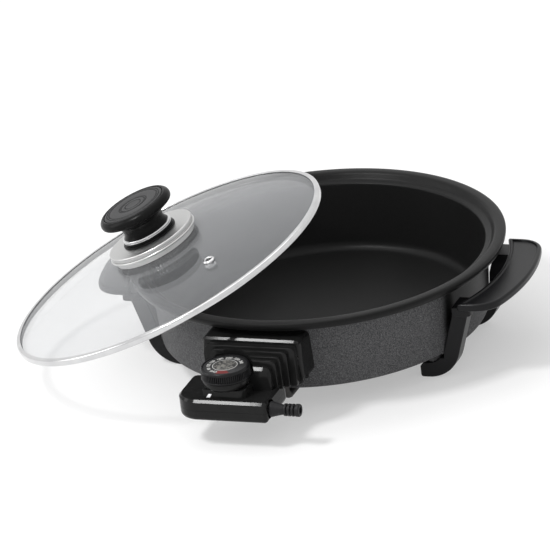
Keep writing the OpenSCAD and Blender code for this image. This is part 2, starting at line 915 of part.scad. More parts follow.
// Rear moulding that enters the guard
module plug_nose() {
  color([0.06, 0.06, 0.06])
    difference() {
      union() {
        forward(nose_y, guard_front + 2)
          polygon(soft_box(-34, probe_z - 14, 34, probe_z + 16, [3, 3, 3, 3]));
        forward(guard_front + 0.6, head_y - step)
          polygon(soft_box(-head_x - 2, head_low, head_x + 2, head_top + 1, [3, 3, 5, 5]));
        forward(head_y - step - 1, head_y)
          polygon(soft_box(-head_x, head_low, head_x, head_top, [1, 1, 5, 5]));
      }
      translate([0, 0, ctl_low])
        linear_extrude(ctl_top - ctl_low)
          polygon(ctl_plan(-0.1));
      dial_well(1);
      both_sides()
        forward(nose_y - 1, head_y - 3)
          translate([pin_x, probe_z])
            circle(r = 4.5);
      forward(nose_y - 1, head_y + 1)
        translate([0, probe_z])
          circle(r = 6.2);
    }
}

// Spring sleeves that grip the pins
module contact_sleeves() {
  color([0.8, 0.65, 0.3])
    both_sides()
      forward(nose_y + 1, head_y - 3.3)
        translate([pin_x, probe_z])
          difference() {
            circle(r = 4.3);
            circle(d = pin_d + 2 * fit);
          }
}

// Probe that touches the pan's sensor boss
module sensor_probe() {
  color("silver") {
    forward(sensor_y + 2, head_y - 1)
      translate([0, probe_z])
        circle(r = 6);
    translate([0, -sensor_y - 0.4, probe_z])
      rotate([90, 0, 0])
        cylinder(r1 = 4.4, r2 = 6, h = 1.6);
  }
}

frame_x = -56;
frame_z = ctl_low + ctl_t;
frame_len = 60;
frame_w = 14;
leaf_w = 8;
leaf_y = dial_y;

// Pressed bracket that carries the switch
module switch_frame() {
  color("silver")
    difference() {
      union() {
        translate([frame_x, leaf_y - frame_w / 2, frame_z])
          cube([frame_len, frame_w, 1.2]);
        translate([frame_x, leaf_y - frame_w / 2, frame_z])
          cube([1.2, frame_w, 12]);
      }
      translate([frame_x + frame_len / 2, leaf_y, frame_z - 1])
        cylinder(r = 3, h = 4);
    }
}

// Insulators and spacers of the contact stack
module insulator_stack() {
  color([0.9, 0.88, 0.82])
    for (z = [0, 3.4, 6.8])
      translate([frame_x + 3, leaf_y - 5, frame_z + 1.2 + z])
        cube([12, 10, 2.8]);
}

// Two spring leaves with their contacts
module contact_springs() {
  color([0.8, 0.55, 0.3])
    for (i = [0, 1])
      translate([0, 0, frame_z + 4 + 3.4 * i]) {
        translate([frame_x + 2, leaf_y - leaf_w / 2, 0])
          cube([frame_len, leaf_w, 0.6]);
        translate([frame_x + frame_len - 3, leaf_y, i == 0 ? 0 : -1.1])
          cylinder(r = 2, h = i == 0 ? 1.5 : 1.2);
      }
}

// Bimetal strip from the probe down to the upper leaf
module bimetal_blade() {
  color([0.75, 0.7, 0.6])
    rotate([90, 0, 90])
      translate([0, 0, -3.5])
        linear_extrude(7)
          polygon([
            [1 - head_y, probe_z - 3],
            [leaf_y + 2, probe_z - 3],
            [leaf_y + 2, frame_z + 8.4],
            [leaf_y + 2.8, frame_z + 8.4],
            [leaf_y + 2.8, probe_z - 3.8],
            [1 - head_y, probe_z - 3.8]]);
}

// Spindle between the dial and the switch
spindle_low = frame_z + 8.5;
module cam_spindle() {
  color([0.7, 0.7, 0.7])
    translate([dial_x, dial_y, spindle_low]) {
      cylinder(r1 = 1.5, r2 = spindle_r, h = 2);
      translate([0, 0, 2])
        cylinder(r = spindle_r, h = dial_top - 4 - spindle_low - 2);
    }
}

// Ribbed skirt of the dial
module dial_skirt() {
  ribs = 48;
  color([0.1, 0.1, 0.1])
    translate([dial_x, dial_y, dial_z])
      difference() {
        union() {
          cylinder(r = dial_r, h = 1.6);
          linear_extrude(dial_h - 2)
            polygon([for (i = [0:4 * ribs - 1])
              (dial_r - (i % 4 < 2 ? 0.2 : 1))
              * [cos(90 * i / ribs), sin(90 * i / ribs)]]);
          translate([0, 0, dial_h - 2.2])
            cylinder(r1 = dial_r - 0.4, r2 = dial_r - 1.2, h = 2.2);
        }
        translate([0, 0, dial_h - 1.2])
          cylinder(r = dial_r - 2.8, h = 2);
        difference() {
          translate([0, 0, -1])
            cylinder(r = dial_r - 3, h = dial_h - 3);
          translate([0, 0, -2])
            cylinder(r = 6, h = dial_h + 2);
        }
        translate([0, 0, -1])
          cylinder(r = spindle_r + 0.05, h = dial_h - 3);
      }
}

// Printed disc let into the dial
module dial_face() {
  color([0.16, 0.16, 0.16])
    translate([dial_x, dial_y, dial_top - 1.2]) {
      cylinder(r = dial_r - 3, h = 1);
      cylinder(r = 9, h = 1.3);
    }
}

// Clip that keeps the spindle in the hub
module spindle_clip() {
  color("silver")
    translate([dial_x, dial_y, boss_z - 5.4])
      difference() {
        cylinder(r = 5.5, h = 1);
        translate([0, 0, -1])
          cylinder(r = spindle_r + 0.05, h = 3);
      }
}

// Clear slanted lens of the pilot lamp, with its flange inside the hub
module pilot_lens() {
  color([0.95, 0.95, 0.95]) {
    forward(hub_front - ctl_t - 1, hub_front + 0.5)
      polygon(lens_plan(0));
    forward(hub_front - ctl_t - 1.2, hub_front - ctl_t - 0.5)
      polygon(lens_plan(0.4));
  }
}

// Neon lamp behind the lens
module pilot_lamp() {
  color([1, 0.6, 0.4])
    translate([lens_x + 1, 4 + ctl_t - hub_front, lens_z + 1.8])
      rotate([0, 90, 0])
        cylinder(r = 1.6, h = 7.5);
}

// Moulded strain relief with its flange inside the housing
module strain_relief() {
  rib = 1.9;
  color([0.12, 0.12, 0.12])
    translate([ctl_x1, cord_y, cord_z])
      rotate([0, 90, 0])
        rotate_extrude($fn = 64)
          polygon(concat(
            [[3.2, -7], [6.3, -7], [6.3, -ctl_t - 1], [4.8, -ctl_t - 1], [4.8, 0.3], [7.2, 0.3],
              [7.4, 2], [6.2, 6], [5, 10], [4.7, 14]],
            [for (i = [0:2], p = [[5.8, 0], [5.8, rib], [4.4, rib], [4.4, 2 * rib]])
              [p[0], 14 + 2 * rib * i + p[1]]],
            [[6, 14 + 6 * rib], [6, 17 + 6 * rib], [5.4, 18 + 6 * rib], [3.2, 18 + 6 * rib]]));
}

// Screws that close the housing from below
module housing_screws() {
  color("silver")
    for (p = posts)
      translate([p[0], p[1], ctl_low + 1]) {
        cylinder(r = 2.7, h = 1.8);
        cylinder(r = 1.25, h = 14);
      }
}

pan_body();
handle_right();
handle_left();
foot_screws();
heating_element();
element_clips();
clip_screws();
terminal_pins();
pin_seals();
socket_guard();
guard_nuts();
lid_glass();
lid_band();
vent_eyelet();
lid_boss();
boss_washer();
knob_plate();
knob_base();
knob_ring();
knob_grip();
knob_cap();
knob_screw();
control_cover();
control_base();
plug_nose();
contact_sleeves();
sensor_probe();
switch_frame();
bimetal_blade();
contact_springs();
insulator_stack();
cam_spindle();
dial_skirt();
dial_face();
spindle_clip();
pilot_lens();
pilot_lamp();
strain_relief();
housing_screws();
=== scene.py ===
# %% [markdown]
# # An electric pan with a glass lid
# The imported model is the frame: every piece of it has its place in metres, with the pan's
# axis on Z and the worktop at Z = 0. This lesson dresses that frame. Pieces that show get
# a modelled mesh with soft edges, small and hidden ones keep their solid, and all get a
# finish.

# %% Load the frame
import math

import bpy
from mathutils import Matrix, Vector


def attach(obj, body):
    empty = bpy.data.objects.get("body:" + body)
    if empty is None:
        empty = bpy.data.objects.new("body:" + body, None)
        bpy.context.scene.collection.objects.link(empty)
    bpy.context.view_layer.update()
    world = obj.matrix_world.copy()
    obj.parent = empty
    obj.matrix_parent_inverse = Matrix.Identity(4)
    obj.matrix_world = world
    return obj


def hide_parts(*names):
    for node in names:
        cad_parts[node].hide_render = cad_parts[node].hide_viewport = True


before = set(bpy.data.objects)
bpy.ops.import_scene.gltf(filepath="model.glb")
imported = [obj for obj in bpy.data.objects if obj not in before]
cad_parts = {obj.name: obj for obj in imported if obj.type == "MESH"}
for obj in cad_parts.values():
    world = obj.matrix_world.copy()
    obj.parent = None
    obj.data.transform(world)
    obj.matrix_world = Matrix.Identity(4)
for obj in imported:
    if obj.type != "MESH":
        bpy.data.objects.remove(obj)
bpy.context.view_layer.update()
bpy.ops.object.select_all(action="DESELECT")

# %% [markdown]
# Product photographs are taken from far away with a long lens, so circles hardly narrow
# with distance. A camera could be set by eye in the viewport. Here it is worked out from
# the point it looks at, how far round and how far up it stands and how much it leans,
# because each of these few numbers moves the picture in one plain way.

# %% Camera
MM = 0.001
AIM = Vector((-53.66, 16.41, 60.0)) * MM
CAMERA_TURN = math.radians(23.214)
CAMERA_RISE = math.radians(23.647)
CAMERA_LEAN = math.radians(-7.106)
CAMERA_FAR = 8.5773
CAMERA_LENS = 589.09

bpy.ops.object.camera_add()
camera = bpy.context.object
towards = Vector((math.sin(CAMERA_TURN) * math.cos(CAMERA_RISE),
                  -math.cos(CAMERA_TURN) * math.cos(CAMERA_RISE),
                  math.sin(CAMERA_RISE)))
camera.location = AIM + CAMERA_FAR * towards
upright = (-towards).to_track_quat("-Z", "Y").to_matrix()
camera.rotation_euler = (upright @ Matrix.Rotation(CAMERA_LEAN, 3, "Z")).to_euler()
camera.data.lens = CAMERA_LENS
camera.data.sensor_width = 36
camera.data.clip_end = 50
bpy.context.scene.camera = camera
bpy.context.scene.view_settings.view_transform = "Standard"
print("camera at", [round(v, 3) for v in camera.location])

# %% [markdown]
# The pan stands in a white studio. A picture of a studio could surround it, but an even
# white is enough. Light Path tells apart what a ray is for: the surround is full white
# where the camera, a reflection or a clear piece sees it, and only half as strong where
# it lights the pan, so black stays black.

# %% Floor and surround
FLOOR_SIZE = 30
LIT, SEEN = 0.50, 1.0
bpy.ops.mesh.primitive_plane_add(size=FLOOR_SIZE)
floor = bpy.context.object
floor.name = "floor"

world = bpy.data.worlds.new("studio")
bpy.context.scene.world = world
world.use_nodes = True
nodes, links = world.node_tree.nodes, world.node_tree.links
surround = nodes["Background"]
path = nodes.new("ShaderNodeLightPath")
seen = None
for kind in ("Is Camera Ray", "Is Glossy Ray", "Is Transmission Ray"):
    either = nodes.new("ShaderNodeMath")
    either.operation = "MAXIMUM"
    links.new(path.outputs[kind], either.inputs[0])
    if seen:
        links.new(seen.outputs[0], either.inputs[1])
    seen = either
strength = nodes.new("ShaderNodeMapRange")
strength.inputs["To Min"].default_value = LIT
strength.inputs["To Max"].default_value = SEEN
links.new(seen.outputs[0], strength.inputs["Value"])
links.new(strength.outputs["Result"], surround.inputs["Strength"])
surround.inputs["Color"].default_value = (1, 1, 1, 1)
print("surround from", LIT, "to", SEEN)

# %% [markdown]
# Three lamps do the rest. A large soft one hangs above and behind and one stands at the
# left. The third is small and bright, and it stands where a flat chamfer on a top front
# edge mirrors it to the camera. That is what draws the thin white lines on the glossy
# plastic. Lines could be painted on, but then they would stay when the view changes.


# %% Lamps
def lamp(name, place, size, power):
    """Adds a rectangular lamp that faces the pan."""
    bpy.ops.object.light_add(type="AREA", location=place)
    light = bpy.context.object
    light.name = name
    light.data.shape = "RECTANGLE"
    light.data.size, light.data.size_y = size
    light.data.energy = power
    facing = (Vector((0, 0, 0.06)) - light.location).to_track_quat("-Z", "Y")
    light.rotation_euler = facing.to_euler()


lamp("top_lamp", (-0.6, 0.5, 1.9), (1.6, 1.2), 8)
lamp("left_lamp", (-1.9, -0.6, 0.9), (0.9, 1.2), 9)
lamp("edge_lamp", (-0.74, -1.04, 1.86), (0.40, 0.40), 26)

# %% [markdown]
# A finish is one Principled shader with a few nodes before it. Placing these nodes by
# hand, or writing them out one by one, hides the idea. So a wire of the node tree gets
# Python's operators here: `1 - mask` adds the Math node that works it out.


# %% A wire that can be used in sums
class Wire:
    """One output of a node. An operator on it adds the Math node that works it out."""

    def __init__(self, finish, socket):
        self.finish, self.socket = finish, socket

    def sum(self, operation, first, second):
        return self.finish.sum(operation, first, second)

    def __add__(self, other):
        return self.sum("ADD", self, other)

    def __sub__(self, other):
        return self.sum("SUBTRACT", self, other)

    def __mul__(self, other):
        return self.sum("MULTIPLY", self, other)

    def __radd__(self, other):
        return self.sum("ADD", other, self)

    def __rsub__(self, other):
        return self.sum("SUBTRACT", other, self)

    def __rmul__(self, other):
        return self.sum("MULTIPLY", other, self)


print("wires can be added, taken away and multiplied")

# %% [markdown]
# A finish carries its material and adds its nodes. One method adds any node from its
# type, its settings and the values or wires of its sockets. The short methods under it
# are the nodes that nearly every finish needs: a noise, a smooth step from 0 to 1, a mix
# of two colours and a bump. All patterns start from Object coordinates, so they are
# fixed to the piece and have a size in metres.


# %% A finish and its nodes
class Finish:
    """A material with one Principled shader, named for what it covers."""

    def __init__(self, name, **sockets):
        self.material = bpy.data.materials.new(name)
        self.material.use_nodes = True
        self.tree = self.material.node_tree
        self.shader = self.tree.nodes["Principled BSDF"]
        self.set(**sockets)

    def plug(self, socket, value):
        """Gives a socket a wire, a colour or a number."""
        if isinstance(value, Wire):
            self.tree.links.new(value.socket, socket)
        elif isinstance(value, tuple) and len(value) == 3 and socket.type == "RGBA":
            socket.default_value = (*value, 1)
        else:
            socket.default_value = value

    def set(self, **sockets):
        """Sets the shader's own sockets."""
        for name, value in sockets.items():
            self.plug(self.shader.inputs[name.replace("_", " ")], value)

    def node(self, kind, settings, inputs, output=0):
        """Adds a node: its settings first, then the values or wires of its sockets."""
        made = self.tree.nodes.new(kind)
        for name, value in settings.items():
            setattr(made, name, value)
        for name, value in inputs.items():
            self.plug(made.inputs[name], value)
        return Wire(self, made.outputs[output])

    def sum(self, operation, first, second=0.5):
        return self.node("ShaderNodeMath", {"operation": operation}, {0: first, 1: second})

    def place(self):
        return self.node("ShaderNodeTexCoord", {}, {}, "Object")

    def apart(self, vector):
        """The X, Y and Z of a vector."""
        first = self.node("ShaderNodeSeparateXYZ", {}, {"Vector": vector})
        return [Wire(self, socket) for socket in first.socket.node.outputs]

    def off_axis(self, x, y):
        """Distance from the Z axis."""
        return self.sum("SQRT", x * x + y * y)

    def noise(self, scale, detail=2, vector=None):
        vector = vector or self.place()
        return self.node("ShaderNodeTexNoise", {},
                         {"Vector": vector, "Scale": scale, "Detail": detail}, "Fac")

    def ramp(self, value, low, high):
        """0 below low, 1 above high and a smooth step between."""
        return self.node("ShaderNodeMapRange", {"interpolation_type": "SMOOTHSTEP"},
                         {"Value": value, "From Min": low, "From Max": high}, "Result")

    def blend(self, mask, first, second):
        return self.node("ShaderNodeMix", {"data_type": "RGBA"},
                         {0: mask, 6: first, 7: second}, 2)

    def bump(self, height, depth, strength=1.0):
        return self.node("ShaderNodeBump", {},
                         {"Height": height, "Distance": depth, "Strength": strength},
                         "Normal")


print("finish tools ready")

# %% [markdown]
# Nearly every piece here is either turned or cut from one outline. Such pieces could be
# pushed out of a cube or a cylinder, but a drawn line keeps the real sizes in sight. So a
# line is drawn by extruding one vertex from point to point. Spun about Z it becomes a
# turned piece. Filled and extruded it becomes a prism. Sizes are in millimetres. A third
# number at a corner says how far the corner is cut back before a small curve takes its
# place, which is how moulded and rolled edges look.


# %% Lines with soft corners
CORNER_STEPS = (0, 0.25, 0.5, 0.75, 1)


def soften(points, closed=False):
    """Rounds the corners of a flat line that carry a third number."""
    line = []
    for i, point in enumerate(points):
        here = Vector(point[:2])
        end = not closed and i in (0, len(points) - 1)
        if end or len(point) < 3 or point[2] == 0:
            line.append(here)
            continue
        before = Vector(points[i - 1][:2]) - here
        after = Vector(points[(i + 1) % len(points)][:2]) - here
        start = here + before.normalized() * min(point[2], before.length * 0.48)
        stop = here + after.normalized() * min(point[2], after.length * 0.48)
        for t in CORNER_STEPS:
            line.append(start * (1 - t) ** 2 + here * 2 * t * (1 - t) + stop * t ** 2)
    return line


def arc(x, y, radius, first, last, steps=8):
    """Points on an arc, with its angles in degrees."""
    turns = [math.radians(first + (last - first) * i / steps) for i in range(steps + 1)]
    return [(x + radius * math.cos(a), y + radius * math.sin(a)) for a in turns]


def draw(name, points):
    """Draws edges through points, in millimetres, and leaves the mesh open for editing."""
    bpy.ops.object.select_all(action="DESELECT")
    points = [Vector(point) * MM for point in points]
    bpy.ops.mesh.primitive_plane_add(size=MM, location=points[0])
    piece = bpy.context.object
    piece.name = piece.data.name = name
    bpy.ops.object.mode_set(mode="EDIT")
    bpy.ops.mesh.select_mode(type="VERT")
    bpy.ops.mesh.select_all(action="SELECT")
    bpy.ops.mesh.merge(type="CENTER")
    for here, there in zip(points, points[1:]):
        bpy.ops.mesh.extrude_region_move(TRANSFORM_OT_translate={"value": there - here})
    bpy.ops.mesh.select_all(action="SELECT")
    return piece


print("line tools ready")

# %% [markdown]
# A spin or an extrusion can leave doubled points at its seam and poles, and can turn a
# shape inside out. So each one ends in the same way: doubles merged, faces turned
# outwards, place applied, and shading smooth except over real edges.


# %% Turned pieces and prisms
def close_up(piece, smooth=40):
    """Ends the editing: one skin, faces outward, soft shading between flat faces."""
    bpy.ops.mesh.select_all(action="SELECT")
    bpy.ops.mesh.remove_doubles(threshold=1e-6)
    bpy.ops.mesh.normals_make_consistent(inside=False)
    bpy.ops.object.mode_set(mode="OBJECT")
    bpy.ops.object.transform_apply(location=True, rotation=True, scale=True)
    bpy.ops.object.shade_smooth_by_angle(angle=math.radians(smooth))
    return piece


def lathe(name, profile, steps=128, smooth=40):
    """Spins a profile of (radius, height) about Z."""
    piece = draw(name, [(r, 0, z) for r, z in soften(profile)])
    bpy.ops.mesh.spin(steps=steps, angle=math.tau, center=(0, 0, 0), axis=(0, 0, 1))
    return close_up(piece, smooth)


def prism(name, outline, first, last, upright=True, smooth=40):
    """Extrudes an (x, y) outline between two heights, or an (x, z) one between two y."""
    flat = soften(outline, closed=True)
    points = [(a, b, first) if upright else (a, first, b) for a, b in flat]
    piece = draw(name, points)
    bpy.ops.mesh.edge_face_add()
    move = Vector((0, 0, last - first)) if upright else Vector((0, last - first, 0))
    bpy.ops.mesh.extrude_region_move(TRANSFORM_OT_translate={"value": move * MM})
    return close_up(piece, smooth)


def cross_prism(name, outline, first, last):
    """A prism that runs along Y."""
    return prism(name, outline, first, last, upright=False)


print("lathe and prism ready")

# %% [markdown]
# Modifiers do the rest. A bevel takes the edge off a prism, because no real edge is
# perfectly sharp, and Boolean lets one shape cut or join another. Both could be done
# face by face in edit mode. The modifiers give the same mesh with less to go wrong.


# %% Bevels and cuts
def only(piece):
    """Selects one piece and nothing else."""
    bpy.ops.object.select_all(action="DESELECT")
    bpy.context.view_layer.objects.active = piece
    piece.select_set(True)


def scrap(piece):
    """Deletes a shape that has done its work."""
    only(piece)
    bpy.ops.object.delete()


def bevel(piece, width, segments=3, angle=40):
    """Rounds the edges that are sharper than an angle."""
    only(piece)
    bpy.ops.object.modifier_add(type="BEVEL")
    edge = piece.modifiers[-1]
    edge.width, edge.segments = width * MM, segments
    edge.limit_method, edge.angle_limit = "ANGLE", math.radians(angle)
    edge.harden_normals = False
    bpy.ops.object.modifier_apply(modifier=edge.name)
    bpy.ops.object.shade_smooth_by_angle(angle=math.radians(angle))
    return piece


def combine(piece, other, operation="DIFFERENCE"):
    """Cuts other from piece, or unites the two. The other piece is used up."""
    only(piece)
    bpy.ops.object.modifier_add(type="BOOLEAN")
    change = piece.modifiers[-1]
    change.operation, change.object, change.solver = operation, other, "EXACT"
    bpy.ops.object.modifier_apply(modifier=change.name)
    scrap(other)
    only(piece)
    bpy.ops.object.shade_smooth_by_angle(angle=math.radians(40))
    return piece


print("bevel and combine ready")

# %% [markdown]
# What repeats is modelled once and copied, and a piece that stands at an angle is
# modelled upright and then laid in place by a matrix. Its place is applied each time, so
# that every finished object sits at the origin, as the frame's own pieces do. `dress`
# then gives it its finish and says which body carries it and which solids it stands for.


# %% Copies, places and names
def twin(piece, name):
    """A copy with its own mesh."""
    only(piece)
    bpy.ops.object.duplicate()
    copy = bpy.context.object
    copy.name = copy.data.name = name
    return copy


def put(piece, place):
    """Moves a piece by a matrix and makes that part of its mesh."""
    only(piece)
    piece.matrix_world = place
    bpy.ops.object.transform_apply(location=True, rotation=True, scale=True)
    return piece


def at(x, y, z):
    """A place in millimetres."""
    return Matrix.Translation(Vector((x, y, z)) * MM)


def join(name, *parts):
    """Makes one piece of several."""
    only(parts[0])
    for part in parts[1:]:
        part.select_set(True)
    bpy.ops.object.join()
    parts[0].name = parts[0].data.name = name
    return parts[0]


def dress(piece, finish, body, slot, *nodes):
    """Gives a piece its finish, the body that carries it and the solids it stands for."""
    piece.data.materials.clear()
    piece.data.materials.append(finish.material)
    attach(piece, body)
    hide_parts(*nodes)
    print(f"{piece.name}: {len(piece.data.polygons)} faces")


print("modifier tools ready")

# %% [markdown]
# ## Finishes
#
# Black plastic comes in two kinds here: satin with a fine moulded grain on the handles
# and the dial, and gloss on the guard and the thermostat. Black shows little but what it
# reflects. A plain black with full reflection would turn grey in a white studio, so the
# reflection is kept weak and the chamfers carry the light.

# %% Black plastics
satin = Finish("satin_black")
grain = satin.noise(2600, 3)
cloud = satin.noise(30, 2)
satin.set(Base_Color=satin.blend(cloud, (0.005, 0.005, 0.0055), (0.009, 0.009, 0.010)),
          Roughness=0.24 + 0.14 * grain, Specular_IOR_Level=0.18,
          Normal=satin.bump(grain, 0.0004, 0.10))

gloss = Finish("gloss_black")
wave = gloss.noise(90, 2)
gloss.set(Base_Color=gloss.blend(wave, (0.009, 0.009, 0.009), (0.014, 0.014, 0.014)),
          Roughness=0.07 + 0.06 * wave, Specular_IOR_Level=0.12,
          Normal=gloss.bump(wave, 0.0004, 0.08))
print("satin and gloss black")

# %% [markdown]
# The pan is one casting of aluminium. Outside it has a dark enamel with pale flecks, and
# inside and on the lip a plain dark non-stick coat. It could be split into two meshes
# with a material each. One material with a mask keeps it a single piece: the mask is 1
# on the underside and outside the wall. Between the legs of each handle it is 0 as well,
# which paints the handle's shade on the wall in the coat's near-black.

# %% Cast pan
BASE_TOP, LIP_UNDER = 0.027, 0.0915        # heights in metres where the enamel ends
WALL_FOOT, WALL_SLOPE = 0.1522, 0.0922     # the wall's radius, and its growth with height
# painted shade: distance from the X axis where the dark band under each handle fades out
HANDLE_SHADE_SIDE = 0.068

cast = Finish("speckled_cast")
spot = cast.place()
x, y, z = cast.apart(spot)
radius = cast.off_axis(x, y)
outside = (cast.ramp(BASE_TOP - z, 0.0, 0.001)
           + cast.ramp(LIP_UNDER - z, 0.0, 0.0006)
           * cast.ramp(radius - z * WALL_SLOPE, WALL_FOOT, WALL_FOOT + 0.0006))
outside = cast.sum("MINIMUM", outside, 1.0)
# Painted shade under each handle: the wall between the legs, fading in from 38 to 56 mm up
# and reaching to the lip, is taken out of the enamel.
handle_shade = (cast.ramp(HANDLE_SHADE_SIDE - cast.sum("ABSOLUTE", y, 0), 0.0, 0.010)
          * cast.ramp(z, 0.038, 0.056))
outside = outside * (1 - handle_shade)
print("mask of the enamel")

# %% [markdown]
# The enamel itself is two noises. The coarse one makes the ground cloudy. The fine one is
# cut off high, which leaves separate pale flecks less than a millimetre wide.

# %% Enamel and coat
fleck = cast.noise(1500, 2, spot)
enamel = cast.blend(cast.ramp(cast.noise(700, 3, spot), 0.40, 0.62),
                    (0.040, 0.040, 0.042), (0.075, 0.075, 0.077))
enamel = cast.blend(cast.ramp(fleck, 0.52, 0.66), enamel, (0.150, 0.150, 0.153))
coat = cast.blend(cast.noise(700, 2, spot), (0.005, 0.005, 0.005), (0.010, 0.010, 0.010))
# Where the mask is 0 the coat's near-black is used, which also paints the shade under the
# handles.
cast.set(Base_Color=cast.blend(outside, coat, enamel),
         Roughness=0.36 + 0.20 * outside, Specular_IOR_Level=0.11,
         Normal=cast.bump(fleck, 0.0006, 0.20))
print("cast pan")

# %% [markdown]
# Steel is polished on the lid's band, turned on the plate under the knob and plain on
# the screws. Turning leaves fine rings. They could come from an image, but a noise that
# is read along one line, the distance from the lid's axis, gives rings at any size. The
# lid leans, so a Mapping node turns the coordinates until its axis is Z.

# %% Steels
LID_AT = Vector((-124.56, -66.96, 99.83)) * MM
LID_TILT, LID_TURN = math.radians(21.6), math.radians(192.3)
LID = (Matrix.Translation(LID_AT) @ Matrix.Rotation(LID_TURN, 4, "Z")
       @ Matrix.Rotation(LID_TILT, 4, "Y"))


def off_lid_axis(finish):
    """Distance from the lid's own axis."""
    vector = finish.node("ShaderNodeMapping", {"vector_type": "TEXTURE"},
                         {"Vector": finish.place(), "Location": tuple(LID_AT),
                          "Rotation": (0, LID_TILT, LID_TURN)}, "Vector")
    return finish.off_axis(*finish.apart(vector)[:2])


def ring_lines(finish, scale):
    """Noise that depends only on the distance from the lid's axis."""
    place = finish.node("ShaderNodeCombineXYZ", {}, {"X": off_lid_axis(finish)}, "Vector")
    return finish.noise(scale, 4, place)


polished = Finish("polished_steel", Metallic=1.0)
smear = polished.noise(60, 3)
polished.set(Base_Color=polished.blend(smear, (0.50, 0.50, 0.51), (0.70, 0.70, 0.70)),
             Roughness=0.12 + 0.12 * smear)

turned = Finish("turned_steel", Metallic=1.0)
lines = ring_lines(turned, 2400)
turned.set(Base_Color=turned.blend(lines, (0.44, 0.44, 0.44), (0.64, 0.64, 0.63)),
           Roughness=0.26 + 0.14 * lines, Normal=turned.bump(lines, 0.00004, 0.25))

plain = Finish("plain_steel", Metallic=1.0)
dull = plain.noise(150, 3)
plain.set(Base_Color=plain.blend(dull, (0.44, 0.44, 0.45), (0.60, 0.60, 0.61)),
          Roughness=0.30 + 0.15 * dull)
print("polished, turned and plain steel")

# %% [markdown]
# Glass this thin hardly bends what lies behind it, so it needs no refraction, which is
# slow and is lost in most exported files. It is drawn as a pale skin, partly metallic, so
# that it mirrors the white studio as the two faces of real glass do. Layer Weight lets
# most light through where one looks straight at it and less where one looks along it.
# Where the rim goes into the band it is nearly black and solid.

# %% Lid glass
SEAM_IN, SEAM_OUT = 0.1574, 0.1580
THINNEST = 0.08

glass = Finish("lid_glass", Specular_IOR_Level=0.5, Metallic=0.6)
edge_on = glass.node("ShaderNodeLayerWeight", {}, {"Blend": 0.5}, "Facing")
dust = glass.noise(25, 3)
seam = glass.ramp(off_lid_axis(glass), SEAM_IN, SEAM_OUT)
pale = glass.blend(dust, (0.47, 0.48, 0.495), (0.53, 0.54, 0.555))
veil = glass.sum("MAXIMUM", 0.58 * edge_on - 0.07, THINNEST)
glass.set(Base_Color=glass.blend(seam, pale, (0.02, 0.02, 0.02)),
          Roughness=0.03 + 0.02 * dust,
          Alpha=glass.sum("MAXIMUM", veil, 0.9 * seam))
print("glass")

# %% [markdown]
# The knob reflects less than the handles do. The disc in its cap is a dark grey with
# fine rings, and the strain relief is rubber. Each is a dark colour that a noise varies a
# little, because handled plastic is never one even black.

# %% Knob plastics and rubber
cap_grey = Finish("cap_grey")
cap_rings = ring_lines(cap_grey, 900)
cap_grey.set(Base_Color=cap_grey.blend(cap_rings, (0.018, 0.018, 0.019),
                                       (0.030, 0.030, 0.031)),
             Roughness=0.36 + 0.16 * cap_rings, Specular_IOR_Level=0.20)

knob_black = Finish("knob_black", Specular_IOR_Level=0.07)
touch = knob_black.noise(70, 3)
knob_black.set(Base_Color=knob_black.blend(touch, (0.004, 0.004, 0.004),
                                           (0.009, 0.009, 0.009)),
               Roughness=0.20 + 0.16 * touch)

rubber = Finish("cord_rubber")
skin = rubber.noise(1500, 2)
rubber.set(Base_Color=rubber.blend(skin, (0.008, 0.008, 0.009), (0.015, 0.015, 0.016)),
           Roughness=0.45 + 0.15 * skin, Specular_IOR_Level=0.18,
           Normal=rubber.bump(skin, 0.0003, 0.15))
print("knob plastics and rubber")

# %% [markdown]
# The electrical pieces have their own finishes: brass contacts, ceramic beads, the dark
# scaled sheath of the element, a clear lens and the orange lamp behind it. They are
# small or hidden, so a mottled colour with a varied roughness is enough.

# %% Electrical finishes
brass = Finish("brass", Metallic=1.0)
brass.set(Base_Color=brass.blend(brass.noise(200), (0.62, 0.42, 0.17), (0.78, 0.57, 0.27)),
          Roughness=0.25 + 0.15 * brass.noise(90))

ceramic = Finish("ceramic")
ceramic.set(Base_Color=ceramic.blend(ceramic.noise(500), (0.62, 0.59, 0.53),
                                     (0.74, 0.72, 0.67)),
            Roughness=0.50 + 0.20 * ceramic.noise(900))

sheath = Finish("element_sheath", Metallic=0.7)
heat = sheath.noise(55, 3)
sheath.set(Base_Color=sheath.blend(heat, (0.030, 0.029, 0.029), (0.060, 0.057, 0.055)),
           Roughness=0.45 + 0.20 * heat)

lens = Finish("clear_lens", Roughness=0.12)
lens.set(Base_Color=lens.blend(lens.noise(900), (0.78, 0.79, 0.80), (0.92, 0.92, 0.93)))

neon = Finish("neon_lamp", Roughness=0.3)
neon.set(Base_Color=neon.blend(neon.noise(600), (0.70, 0.25, 0.10), (0.85, 0.45, 0.25)))
print(len(bpy.data.materials), "finishes")

# %% [markdown]
# ## Pan
#
# The pan is round, so one profile makes it: flat base, tapered wall, the step that seats
# the lid and the rolled lip with a groove under it. The wall could be a scaled cylinder,
# but the lip needs a dozen exact corners, and a spun line gives them all at once.

# %% Pan wall
wall = lathe("pan_shell", [
    (0, 23.5), (156.2, 23.5, 6), (162.0, 88.6, 2), (168, 91.6, 2), (171, 96.5, 1.5),
    (173, 98, 1), (175, 97, 1), (175, 94, 0.3), (178, 94, 0.9), (180, 98, 1.6),
    (180, 102, 4.6), (169.6, 102, 2.6), (165.6, 95.3, 1.6), (159.7, 94.6, 2.2),
    (151.3, 28.5, 9), (0, 28.5)], steps=192, smooth=30)
print("wall:", len(wall.data.polygons), "faces")

# %% [markdown]
# Cast bosses stand on the pan wherever something is screwed on: four for the feet, three
# for the element's straps, two studs for the guard and one that takes the thermostat's
# probe. Each kind is turned once and copied. The ones on the wall point to the front.

